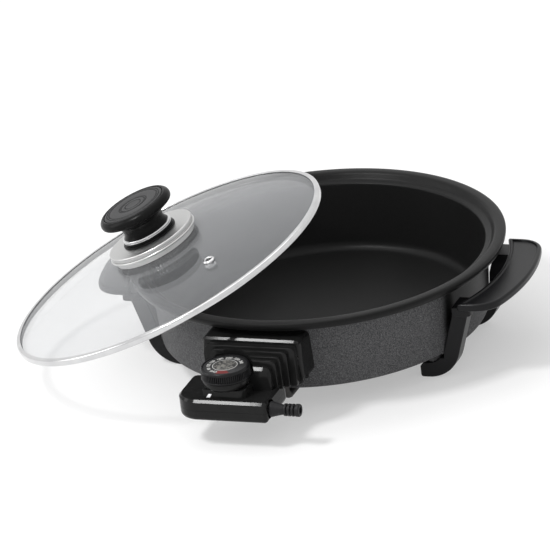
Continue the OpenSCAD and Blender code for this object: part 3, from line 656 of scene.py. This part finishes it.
# %% Bosses under and before the pan
FOOT_X, FOOT_Y = 130, 56.5                 # the foot screws
PLUG_Z = 62.5                              # height of the pins and the probe
STUD_X = 40


def along_y(x, z, y=0):
    """A place whose own Z points to -Y."""
    return at(x, -y, z) @ Matrix.Rotation(math.pi / 2, 4, "X")


foot_boss = lathe("boss", [(0, 25), (7, 25), (7, 15.1, 0.8), (2.2, 15.1, 0.2),
                           (2.2, 22), (0, 22)], 32)
bosses = [put(twin(foot_boss, "boss"), at(x, y, 0))
          for x in (-FOOT_X, FOOT_X) for y in (-FOOT_Y, FOOT_Y)]
clip_boss = lathe("boss", [(0, 25), (3.5, 25), (3.5, 20, 0.4), (0, 20)], 24)
for turn in (90, 210, 330):
    place = Matrix.Rotation(math.radians(turn), 4, "Z") @ at(102.5, 0, 0)
    bosses.append(put(twin(clip_boss, "boss"), place))
stud = lathe("boss", [(0, 0), (4, 0), (4, 15.5, 0.4), (2, 15.5), (2, 22, 0.4), (0, 22)], 24)
bosses += [put(twin(stud, "boss"), along_y(x, PLUG_Z, 153)) for x in (-STUD_X, STUD_X)]
feeler = lathe("boss", [(0, 0), (8, 0), (8, 6.1, 0.6), (0, 6.1)], 32)
bosses.append(put(twin(feeler, "boss"), along_y(0, PLUG_Z, 157.5)))
for spare in (foot_boss, clip_boss, stud, feeler):
    scrap(spare)
dress(join("pan_shell", wall, *bosses), cast, "pan", "cast", "pan_body")

# %% [markdown]
# ## Handles
#
# Some shapes need only a few faces or edges changed. By hand one clicks on them. In a
# script they are picked by where they are, because their numbers change whenever the
# outline does.


# %% Picking parts of a mesh by place
def pick(piece, kind, test):
    """Opens a mesh with the faces or edges selected whose corners all pass a test, in mm."""
    only(piece)
    bpy.ops.object.mode_set(mode="EDIT")
    bpy.ops.mesh.select_mode(type="VERT")
    bpy.ops.mesh.select_all(action="DESELECT")
    bpy.ops.mesh.select_mode(type=kind)
    bpy.ops.object.mode_set(mode="OBJECT")
    mesh = piece.data
    parts = mesh.polygons if kind == "FACE" else mesh.edges
    for part in parts:
        corners = [mesh.vertices[i].co / MM for i in part.vertices]
        part.select = all(test(corner) for corner in corners)
    bpy.ops.object.mode_set(mode="EDIT")


def shut(piece, smooth=40):
    """Closes a mesh that pick opened."""
    bpy.ops.object.mode_set(mode="OBJECT")
    only(piece)
    bpy.ops.object.shade_smooth_by_angle(angle=math.radians(smooth))
    return piece


def round_edges(piece, width, segments, test):
    """Rounds the edges whose ends both pass a test. One segment makes a flat chamfer."""
    pick(piece, "EDGE", test)
    bpy.ops.mesh.bevel(offset=width * MM, segments=segments, affect="EDGES")
    return shut(piece)


print("picking tools ready")

# %% [markdown]
# The grip is a moulded crescent that follows the rim, with a raised border round a sunken
# field. Its outline is four arcs, so it is drawn as a prism rather than bent from a bar.
# The top face is then inset twice: once for the border, once downwards for the field.

# %% Grip
GRIP_LOW, GRIP_HIGH = 74.7, 82.2
GRIP_IN, GRIP_OUT = 181, 212               # radii of its inner and outer edge
CORNER_X, CORNER_Y, CORNER_R = 179.91, 51.0, 25
corner_turn = math.degrees(math.atan2(CORNER_Y, CORNER_X))
side_turn = math.degrees(math.asin(76 / GRIP_IN))
plan = (arc(0, 0, GRIP_OUT, -corner_turn, corner_turn, 24)
        + arc(CORNER_X, CORNER_Y, CORNER_R, corner_turn, 90, 10)[1:]
        + arc(0, 0, GRIP_IN, side_turn, -side_turn, 28)
        + arc(CORNER_X, -CORNER_Y, CORNER_R, -90, -corner_turn, 10)[:-1])
handle_grip = prism("grip", plan, GRIP_LOW, GRIP_HIGH)
bevel(handle_grip, 2.2, 4, 50)
pick(handle_grip, "FACE", lambda p: p.z > GRIP_HIGH - 0.05)
bpy.ops.mesh.inset(thickness=1.3 * MM, depth=0)
bpy.ops.mesh.inset(thickness=0.9 * MM, depth=-1.4 * MM)
shut(handle_grip, 30)
print("grip:", len(handle_grip.data.polygons), "faces")

# %% [markdown]
# Each handle stands on two legs. A leg leans outwards as it rises and turns in below to
# a short foot. Seen from the front it is one band of even width round a knee, so its
# side is drawn and extruded. A cone of the wall's own slope then cuts it, so that it
# lies on the pan, and a turned drill makes the holes for the foot's screw and boss.

# %% Legs
LEG_LEAN = 17.7
KNEE_X, KNEE_OUT, KNEE_IN = 125, 33.3, 18.3
LEG_TOP, LEG_WIDE = 76.8, 15.7
LEG_FAR, LEG_NEAR = 65, 48                 # its two sides, as distances from the X axis
lean = math.radians(LEG_LEAN)
rise = math.tan(lean)
knee = (KNEE_X + KNEE_OUT * math.cos(lean), KNEE_OUT * (1 - math.sin(lean)))
top = knee[0] + (LEG_TOP - knee[1]) * rise
side = ([(118.5, 0)] + arc(KNEE_X, KNEE_OUT, KNEE_OUT, 270, 360 - LEG_LEAN, 12)
        + [(top, LEG_TOP), (top - LEG_WIDE, LEG_TOP)]
        + arc(KNEE_X, KNEE_OUT, KNEE_IN, 360 - LEG_LEAN, 270, 10)
        + [(121, 15), (117, 11), (117, 1.5)])
leg = bevel(cross_prism("leg", side, -LEG_FAR, -LEG_NEAR), 1.5, 3, 30)
leg_block = prism("block", [(158, 48, 1), (top + 2, 48, 1), (top + 2, 73, 5), (158, 73, 1)],
                  67.8, 77)
bevel(leg_block, 0.8, 3, 40)
cone = lathe("cone", [(0, 20), (156.3, 20), (156.6, 23), (163.2, 94), (0, 94)], 192)
combine(leg, twin(cone, "cone_copy"))
drill = lathe("drill", [(0, -1), (5, -1), (5, 7), (2.4, 7), (2.4, 15), (7.3, 15),
                        (7.3, 24), (0, 24)], 32)
combine(leg, put(drill, at(FOOT_X, -FOOT_Y, 0)))
print("leg:", len(leg.data.polygons), "faces")

# %% [markdown]
# The second leg and block are mirror images, made by a scale of -1. That turns a mesh
# inside out, so its normals are worked out again. The left handle is the right one
# turned half way round the pan.

# %% Both handles
over = Matrix.Scale(-1, 4, (0, 1, 0))
parts = [handle_grip, leg, leg_block]
for part in (leg, leg_block):
    other = put(twin(part, "other"), over)
    pick(other, "FACE", lambda p: True)
    bpy.ops.mesh.normals_make_consistent(inside=False)
    parts.append(shut(other))
handle = join("handle_right_moulding", *parts)
left = put(twin(handle, "handle_left_moulding"), Matrix.Rotation(math.pi, 4, "Z"))
dress(handle, satin, "pan", "phenolic", "handle_right")
dress(left, satin, "pan", "phenolic", "handle_left")

# %% [markdown]
# ## Socket guard
#
# The guard is a moulded frame on the wall, round the pins that the thermostat plugs on.
# Its top front edge is the longest bright line on the pan, so that edge is a flat
# chamfer of one segment: a round edge would spread the lamp into a broad grey band. Two
# ears inside take its nuts, two slots below let in the ends of the heating element, and
# the cone of the wall cuts its back.

# %% Socket guard
GUARD_BACK, GUARD_FRONT = -146, -182


def box(x0, z0, x1, z1, *radii):
    """Corners of an upright box from below left, anticlockwise."""
    corners = ((x0, z0), (x1, z0), (x1, z1), (x0, z1))
    return [(*corner, radius) for corner, radius in zip(corners, radii)]


guard = cross_prism("socket_frame", box(-50, 43, 47, 87, 7, 7, 6, 3.6), GUARD_BACK,
                    GUARD_FRONT)
round_edges(guard, 5, 3, lambda p: p.y < GUARD_FRONT + 0.1 and abs(p.x - 46.9) < 0.3)
round_edges(guard, 1.9, 1, lambda p: p.y < GUARD_FRONT + 0.1 and p.z > 50)
combine(guard, cross_prism("hole", box(-44, 46, 44, 83.3, 4, 4, 4, 4), -140, -190))
for way in (-1, 1):
    low, high = sorted((way * 32, way * 47))
    combine(guard, cross_prism("ear", box(low, 44, high, 85, 1, 1, 1, 1), -168.5, -170.5),
            "UNION")
    combine(guard, cross_prism("slot", box(way * 20 - 5, 42, way * 20 + 5, 48, 1, 1, 1, 1),
                               -150, -174))
combine(guard, cone)
dress(guard, gloss, "pan", "gloss_black", "socket_guard")

# %% [markdown]
# ## Thermostat
#
# The housing is a low box in two halves, with one big round corner at the front left.
# Both halves are prisms of one outline with a thin gap between them, where the real ones
# part. The lower edge is rounded to be held, and the upper one has the flat chamfer that
# catches the small lamp. A turned nest takes the collar of the strain relief.

# %% Housing
FRONT, BACK = -242, -185
SPLIT, HOUSING_TOP = 39.5, 50
housing = arc(-40, -220, 22, 180, 270, 14) + [(31, FRONT, 4), (31, BACK, 8), (-62, BACK, 8)]
base = prism("housing_base", housing, 29, SPLIT - 0.15)
round_edges(base, 4.2, 4, lambda p: p.z < 29.1)
upper = prism("housing_top", housing, SPLIT, HOUSING_TOP)
round_edges(upper, 2.3, 1, lambda p: p.z > HOUSING_TOP - 0.1)
nest = lathe("nest", [(0, 24), (8.2, 24), (9.4, 32.5), (0, 32.5)], 48)
cord_place = at(0, -229.5, SPLIT) @ Matrix.Rotation(math.pi / 2, 4, "Y")
put(nest, cord_place)
combine(base, twin(nest, "nest_copy"))
combine(upper, nest)
dress(base, gloss, "control", "gloss_black", "control_base")

# %% [markdown]
# The dial stands on a square block with a turned collar. Behind it the head rises in
# three steps to the guard. All are one moulding on the real thermostat. They are made
# apart, because each is then a plain prism, and a turned well clears room for the dial.

# %% Block, collar and stepped head
DIAL = Vector((-14.5, -218.5, 0)) * MM
dial_place = Matrix.Translation(DIAL)
dial_block = prism("dial_block", [(-33.3, -235.2, 1.2), (8, -235.2, 7), (8, -195),
                                  (-33.3, -195)], 49, 58.5)
bevel(dial_block, 0.5, 2, 50)
dial_collar = lathe("collar", [(0, 56), (16, 56.4), (20.6, 58.4, 2), (22.5, 61.2, 1.5),
                               (22.5, 65.9, 0.6), (0, 65.9)], 96)
put(dial_collar, dial_place)
steps = []
for half, low, high, near, far, soft in (
        (33, 46, 78, 195, 200, 5), (30, 46, 76, 199, 205, 5), (26.5, 47, 72, 204, 212, 7)):
    steps.append(cross_prism("step", box(-half, low, half, high, 1, 1, soft, soft),
                             -near, -far))
for step in steps[:2]:
    bevel(step, 0.6, 2, 30)
round_edges(steps[2], 2.6, 1, lambda p: p.y < -211.9 and p.z > 52)
head = steps[0]
for step in steps[1:]:
    combine(head, step, "UNION")
well = lathe("well", [(0, 65.9), (25.7, 65.9), (25.7, 95), (0, 95)], 96)
put(well, dial_place)
combine(head, twin(well, "well_copy"))
slot = [(-30.05, 50.75), (-26.15, 50.75), (-23.85, 54.65), (-27.45, 54.65)]
combine(dial_block, cross_prism("slot", slot, -231, -240))
dress(join("housing_top", upper, dial_block, dial_collar, head), gloss, "control",
      "gloss_black", "control_cover")

# %% [markdown]
# The rear moulding plugs into the guard. It is three more steps, drawn like the head's,
# with bores for the two pins and the probe. What would run into the dial or the housing
# is cut away, because two skins in one place flicker in a render.

# %% Plug
PIN_X = 20
plug = []
for half, low, high, near, far, soft in (
        (34, 48.5, 78.5, 172, 184, 3), (44.2, 45.4, 83.6, 182.3, 191, 4),
        (38, 46, 81, 190, 195, 5)):
    step = cross_prism("step", box(-half, low, half, high, 2, 2, soft, soft), -near, -far)
    plug.append(bevel(step, 0.6, 2, 30))
nose = plug[0]
for step in plug[1:]:
    combine(nose, step, "UNION")
nose.name = nose.data.name = "plug_moulding"
combine(nose, well)
around = [(-62.1, FRONT - 0.1), (31.1, FRONT - 0.1), (31.1, BACK + 0.1), (-62.1, BACK + 0.1)]
combine(nose, prism("floor_gap", around, 29, HOUSING_TOP))
for x, radius in ((-PIN_X, 4.5), (PIN_X, 4.5), (0, 6.2)):
    bore = lathe("bore", [(0, 0), (radius, 0), (radius, 22), (0, 22)], 32)
    combine(nose, put(bore, along_y(x, PLUG_Z, 170)))
dress(nose, gloss, "control", "gloss_black", "plug_nose")

# %% [markdown]
# The dial's skirt is knurled so that wet fingers can turn it: 72 ribs between a thin
# flange and a chamfered rim. Seventy-two copies of a rib would also do, but one toothed
# outline, extruded, is a single clean mesh.

# %% Dial
RIBS = 72
RIB_IN, RIB_OUT = 21.9, 23.2
teeth = []
for i in range(RIBS):
    for share, radius in ((0.0, RIB_IN), (0.22, RIB_OUT), (0.60, RIB_OUT), (0.82, RIB_IN)):
        turn = math.tau * (i + share) / RIBS
        teeth.append((radius * math.cos(turn), radius * math.sin(turn)))
ribbed = prism("skirt", teeth, 67.2, 75.4, smooth=20)
flange = lathe("flange", [(3.2, 66.5), (23.1, 66.5), (23.5, 66.9), (23.4, 67.7, 0.2),
                          (22.0, 68.3), (3.2, 68.3)], 128)
rim = lathe("rim", [(3.2, 74), (22.9, 74.6), (23.3, 75.3, 0.2), (23.0, 76.2, 0.5),
                    (22.0, 77.5, 0.5), (20.9, 77.5, 0.2), (20.8, 76.3), (3.2, 76.3)], 128)
skirt = put(join("dial_skirt_ribbed", ribbed, flange, rim), dial_place)
dress(skirt, satin, "dial", "phenolic", "dial_skirt")

# %% [markdown]
# The face is a flat black disc, a little shinier than the skirt. It lies in the recess
# that the rim leaves, as the real one does, so it is a turned piece of its own.

# %% Face of the dial
dial_black = Finish("dial_black")
dial_black.set(Base_Color=dial_black.blend(dial_black.noise(800), (0.012, 0.012, 0.013),
                                           (0.022, 0.022, 0.023)),
               Roughness=0.30, Specular_IOR_Level=0.5)
disc = lathe("dial_disc", [(0, 76.9), (20.6, 76.9, 0.2), (20.75, 76.35), (0, 76.35)], 96)
dress(put(disc, dial_place), dial_black, "dial", "dial_print", "dial_face")

# %% [markdown]
# The print on the face could be a picture laid on the disc. Thin raised meshes are
# sharper and need no file. Each number reads from outside the dial, so it is turned to
# its own angle and moved out along it. Text becomes a mesh before its place is applied,
# because a text object can't take one.


# %% Numbers and circle
FACE, FACE_TOP = 76.8, 77.02               # bottom and top of the print
NUMBER_HIGH, NUMBER_AT = 4.6, 15.4         # height of a number and its distance out
CIRCLE_IN, CIRCLE_OUT = 11.3, 11.9


def printed(text, turn):
    """A number on the dial, made a mesh."""
    bpy.ops.object.select_all(action="DESELECT")
    bpy.ops.object.text_add()
    word = bpy.context.object
    word.data.body, word.data.size = text, NUMBER_HIGH * MM
    word.data.align_x, word.data.align_y = "CENTER", "CENTER"
    word.data.extrude, word.data.offset = 0.00006, 0.00009
    bpy.ops.object.convert(target="MESH")
    place = (Matrix.Translation(DIAL + Vector((0, 0, 0.07697)))
             @ Matrix.Rotation(math.radians(turn - 90), 4, "Z") @ at(0, NUMBER_AT, 0))
    return put(bpy.context.object, place)


numbers = [printed(text, turn) for text, turn in (
    ("OFF", -112), ("90", -142), ("120", -170), ("150", 160), ("180", 128), ("200", 96),
    ("220", 64), ("240", 32))]
circle = lathe("ring", [(CIRCLE_IN, FACE), (CIRCLE_OUT, FACE), (CIRCLE_OUT, FACE_TOP),
                        (CIRCLE_IN, FACE_TOP), (CIRCLE_IN, FACE)], 96)
white_print = Finish("white_print", Roughness=0.5)
white_print.set(Base_Color=white_print.blend(white_print.noise(900), (0.36, 0.36, 0.35),
                                             (0.60, 0.60, 0.58)))
dress(join("dial_numbers", put(circle, dial_place), *numbers), white_print, "dial",
      "dial_print")

# %% [markdown]
# A red mark stands at the off end of the scale, and the centre is a worn pale print. The
# mark is a piece of a ring, drawn by angle and distance. The centre's noise is cut off
# in the middle, which gives patches of print and gaps where it has gone.

# %% Red mark and worn centre
wedge = [(12.6, -100)] + [(18.6, a) for a in range(-98, -56, 4)] + [(13.0, -62)]
wedge = [(r * math.cos(math.radians(a)), r * math.sin(math.radians(a))) for r, a in wedge]
red_print = Finish("red_print", Roughness=0.5)
red_print.set(Base_Color=red_print.blend(red_print.noise(900), (0.10, 0.008, 0.008),
                                         (0.18, 0.018, 0.018)))
dress(put(prism("dial_mark", wedge, FACE, FACE_TOP), dial_place), red_print, "dial",
      "dial_print")

hub_print = Finish("hub_print", Roughness=0.45)
worn = hub_print.noise(420, 2)
hub_print.set(Base_Color=hub_print.blend(hub_print.ramp(worn, 0.42, 0.60),
                                         (0.02, 0.02, 0.02), (0.17, 0.165, 0.15)),
              Normal=hub_print.bump(worn, 0.0003, 0.4))
centre = lathe("dial_centre", [(0, FACE), (10.4, FACE), (10.4, 77.1, 0.3), (0, 77.1)], 64)
dress(put(centre, dial_place), hub_print, "dial", "dial_print")

# %% [markdown]
# The strain relief is moulded rubber: a collar in the round nest, a taper, three ribs
# that let it bend, and an end flange. It is turned from one profile whose ribs come from
# a loop. The pilot lens is a small clear block in the slot of the dial's block.

# %% Strain relief and pilot lens
RIB_START, RIB_STEP = 45, 3.8
profile = [(3.2, 24), (6.3, 24), (6.3, 27.5), (4.8, 27.5), (4.8, 31.1), (7.2, 31.2),
           (7.5, 32.6, 0.6), (6.5, 36, 1), (5.2, 41.5, 1), (4.5, RIB_START)]
for i in range(3):
    start = RIB_START + RIB_STEP * i
    profile += [(6.0, start, 0.4), (6.0, start + 2.1, 0.4), (3.9, start + 2.1, 0.2),
                (3.9, start + RIB_STEP, 0.2)]
profile += [(6.1, 56.4, 0.5), (6.1, 59.6, 0.5), (5.5, 60.3), (3.2, 60.4), (3.2, 24)]
cord_collar = put(lathe("cord_collar", profile, 48), cord_place)
dress(cord_collar, rubber, "control", "cord_rubber", "strain_relief")

jewel = [(-29.9, 50.9, 0.3), (-26.3, 50.9, 0.3), (-24.0, 54.5, 0.3), (-27.3, 54.5, 0.3)]
window = cross_prism("pilot_window", jewel, -231.7, -235.7)
bevel(window, 0.2, 2, 60)
dress(window, lens, "control", "lens", "pilot_lens")

# %% [markdown]
# ## Lid
#
# The lid is a shallow dome of glass. It could be the cap of a scaled ball, but a ball's
# rows of faces don't stop where the glass does. So two arcs of the real radius, one for
# each side of the glass, are joined into a profile and spun. All pieces of the lid are
# made upright on Z, and its own matrix then leans them on the rim.

# %% Glass
DOME_R, DOME_TOP, GLASS_THICK = 526.27, 30.0, 4
DOME_C = DOME_TOP - DOME_R
GLASS_EDGE, GLASS_HOLE = 160.6, 4


def dome(radius, first, last, steps=24):
    """Points on the dome from one distance off the axis to another, as (r, z)."""
    turns = [math.asin((first + (last - first) * i / steps) / DOME_R)
             for i in range(steps + 1)]
    return [(radius * math.sin(a), DOME_C + radius * math.cos(a)) for a in turns]


outer = dome(DOME_R, GLASS_HOLE, GLASS_EDGE)
inner = dome(DOME_R - GLASS_THICK, GLASS_EDGE, GLASS_HOLE)
shell = lathe("dome_shell", outer + inner + [outer[0]], steps=192, smooth=30)
VENT = (Matrix.Rotation(math.radians(130), 4, "Z") @ at(0, 0, DOME_C)
        @ Matrix.Rotation(math.asin(103 / DOME_R), 4, "Y") @ at(0, 0, DOME_R))
hole = lathe("hole", [(0, -6), (4, -6), (4, 3), (0, 3)], 32)
combine(shell, put(hole, VENT))
dress(put(shell, LID), glass, "lid", "glass", "lid_glass")

# %% [markdown]
# A steel band is folded over the glass's edge, and a small steel eyelet lines the hole
# that lets steam out. Both are thin sheet. Solidify could give a line its thickness, but
# the folds are easier to read as one closed profile each.

# %% Band and steam vent
band = lathe("lid_ring", [
    (158.9, 0, 0.3), (161.6, 0, 0.8), (162.5, 1.0, 0.9), (162.5, 5.4, 0.9),
    (161.4, 6.5, 0.8), (158.0, 6.9, 0.3), (157.8, 6.1), (161.3, 5.5, 0.4),
    (161.3, 0.7, 0.2), (158.9, 0.7), (158.9, 0)], 192, 30)
dress(put(band, LID), polished, "lid", "polished", "lid_band")

eyelet = lathe("vent_ring", [
    (2.6, -5.4), (5.6, -5.4, 0.4), (5.6, -4.5), (3.7, -4.5), (3.7, 0.5), (5.8, 0.5),
    (5.8, 1.1, 0.5), (5.0, 1.8, 0.6), (3.4, 2.1, 0.4), (2.6, 1.4, 0.5), (2.6, -5.4)], 48)
dress(put(put(eyelet, VENT), LID), polished, "lid", "polished", "vent_eyelet")

# %% [markdown]
# Under the glass a fluted cup is the other half of the knob's joint. Its flutes are made
# as the dial's ribs are, by an outline that goes in and out, and a Boolean hollows it.

# %% Cup under the glass
FLUTES = 18
FLUTE_IN, FLUTE_SIDE, FLUTE_OUT = 13.4, 14.2, 14.3
outline = []
for i in range(FLUTES):
    for share, radius in ((0, FLUTE_IN), (0.18, FLUTE_SIDE), (0.40, FLUTE_OUT),
                          (0.62, FLUTE_SIDE), (0.80, FLUTE_IN)):
        turn = math.tau * (i + share) / FLUTES
        outline.append((radius * math.cos(turn), radius * math.sin(turn)))
cup = prism("fluted_cup", outline, 2.9, 23.9, smooth=25)
combine(cup, lathe("hollow", [(0, 0), (10.8, 0), (10.8, 19.9, 1), (0, 19.9)], 48))
dress(put(cup, LID), satin, "lid", "phenolic", "lid_boss")

# %% [markdown]
# The knob stacks up on the glass: a pressed steel plate with a stepped rim, a grooved
# foot and a bright ring. The plate is a shallow cap of thin sheet that hides the joint.
# Each is a turned profile with a bore for the screw.

# %% Plate, foot and ring
SCREW_R = 3.3
plate = lathe("knob_plate_steel", [
    (SCREW_R, 39.6), (40.0, 39.6), (40.0, 28.6), (41.0, 28.6), (41.0, 33.6, 0.3),
    (44.3, 33.9, 0.4), (44.6, 35.0, 0.5), (44.0, 35.9, 0.3), (42.4, 36.2, 0.3),
    (42.4, 37.2, 0.2), (43.4, 37.5, 0.3), (43.5, 40.1, 0.6), (42.6, 40.8, 0.5),
    (SCREW_R, 40.8)], 160, 25)
dress(put(plate, LID), turned, "lid", "steel", "knob_plate")

foot = lathe("knob_foot", [
    (SCREW_R, 40.8), (27.0, 40.8, 0.3), (27.0, 42.3, 0.7), (25.3, 42.7, 0.3),
    (25.3, 43.2, 0.3), (26.0, 43.6, 0.4), (25.6, 44.5, 0.3), (SCREW_R, 44.5)], 96)
dress(put(foot, LID), knob_black, "lid", "phenolic", "knob_base")

bright = lathe("knob_bright_ring", [
    (20, 44.4), (24.6, 44.4, 0.3), (25.3, 45.0, 0.4), (25.3, 45.8, 0.2),
    (24.4, 46.1, 0.1), (25.2, 46.4, 0.2), (25.2, 47.4, 0.4), (24.6, 48.1, 0.3),
    (20, 48.1)], 96)
dress(put(bright, LID), polished, "lid", "polished", "knob_ring")

# %% [markdown]
# Above the ring the grip narrows to a waist for the fingers and spreads to a broad
# rounded cap. A grey disc closes it. Its rings are real grooves, added to the profile by
# a loop, so they are in the mesh itself. A bump in the material would not be.

# %% Grip and cap
knob_grip = lathe("knob_grip_moulding", [
    (3, 46.9), (9, 46.9), (9, 47.9), (23.6, 47.9, 0.5), (21.3, 51.0, 2), (20.5, 55.0, 4),
    (22.6, 60.4, 3), (26.8, 61.8, 0.6), (27.2, 63.8, 0.6), (32.8, 64.8, 1.5),
    (36.8, 66.6, 2.6), (36.8, 71.6, 3.4), (33.0, 74.9, 1.6), (31.4, 74.2, 0.3),
    (30.9, 72.4), (3, 72.3)], 128, 30)
dress(put(knob_grip, LID), knob_black, "lid", "phenolic", "knob_grip")

CAP_TOP, GROOVE_FLOOR = 75.0, 74.1
groove = []
for radius in (27.6, 25.4, 14.4, 12.6, 8.2):
    groove += [(radius + 0.55, CAP_TOP, 0.25), (radius + 0.2, GROOVE_FLOOR, 0.2),
               (radius - 0.2, GROOVE_FLOOR, 0.2), (radius - 0.55, CAP_TOP, 0.25)]
cap = lathe("knob_cap_disc", [(0, 72.3), (30.6, 72.3), (30.6, 74.4, 0.5), (29.4, 74.9, 0.5)]
            + groove + [(6, CAP_TOP, 1), (0, 74.8)], 128, 30)
dress(put(cap, LID), cap_grey, "lid", "cap_grey", "knob_cap")

# %% [markdown]
# ## The solids that stay
#
# Screws, nuts, pins, springs and the heating element keep the shape they came with. They
# are small or hidden, and their solids already have the right form. Each gets a finish
# in its own material slots, and nothing else about it is touched.

# %% Finishes on the solids that stay
KEPT = {
    plain: ("foot_screws", "clip_screws", "element_clips", "guard_nuts", "knob_screw",
            "sensor_probe", "switch_frame", "cam_spindle", "spindle_clip",
            "housing_screws"),
    polished: ("terminal_pins",),
    sheath: ("heating_element",),
    ceramic: ("pin_seals", "insulator_stack"),
    brass: ("contact_sleeves", "contact_springs", "bimetal_blade"),
    rubber: ("boss_washer",),
    neon: ("pilot_lamp",),
}
for finish, names in KEPT.items():
    for name in names:
        for material_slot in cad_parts[name].material_slots:
            material_slot.material = finish.material
print(sum(len(names) for names in KEPT.values()), "solids kept")

# %% [markdown]
# The floor's finish is the last touch. It is nearly white, and part of it glows for the
# camera and for reflections alone. So it meets the white surround without a line and
# still keeps the pan's soft shadow.

# %% Floor finish
GLOW_SHARE = 0.4
stone = Finish("floor_white", Roughness=0.7, Specular_IOR_Level=0.1)
stone.set(Base_Color=stone.blend(stone.noise(3), (0.90, 0.90, 0.90), (0.92, 0.92, 0.92)))
glow = stone.node("ShaderNodeEmission", {}, {"Color": (1, 1, 1)})
rays = stone.node("ShaderNodeLightPath", {}, {}).socket.node.outputs
mirrored = stone.sum("MAXIMUM", Wire(stone, rays["Is Glossy Ray"]),
                     Wire(stone, rays["Is Transmission Ray"]))
watched = stone.sum("MAXIMUM", Wire(stone, rays["Is Camera Ray"]), mirrored)
surface = stone.node("ShaderNodeMixShader", {}, {
    0: GLOW_SHARE * watched, 1: Wire(stone, stone.shader.outputs[0]), 2: glow})
stone.plug(stone.tree.nodes["Material Output"].inputs["Surface"], surface)
floor.data.materials.append(stone.material)
print("floor glows by", GLOW_SHARE)
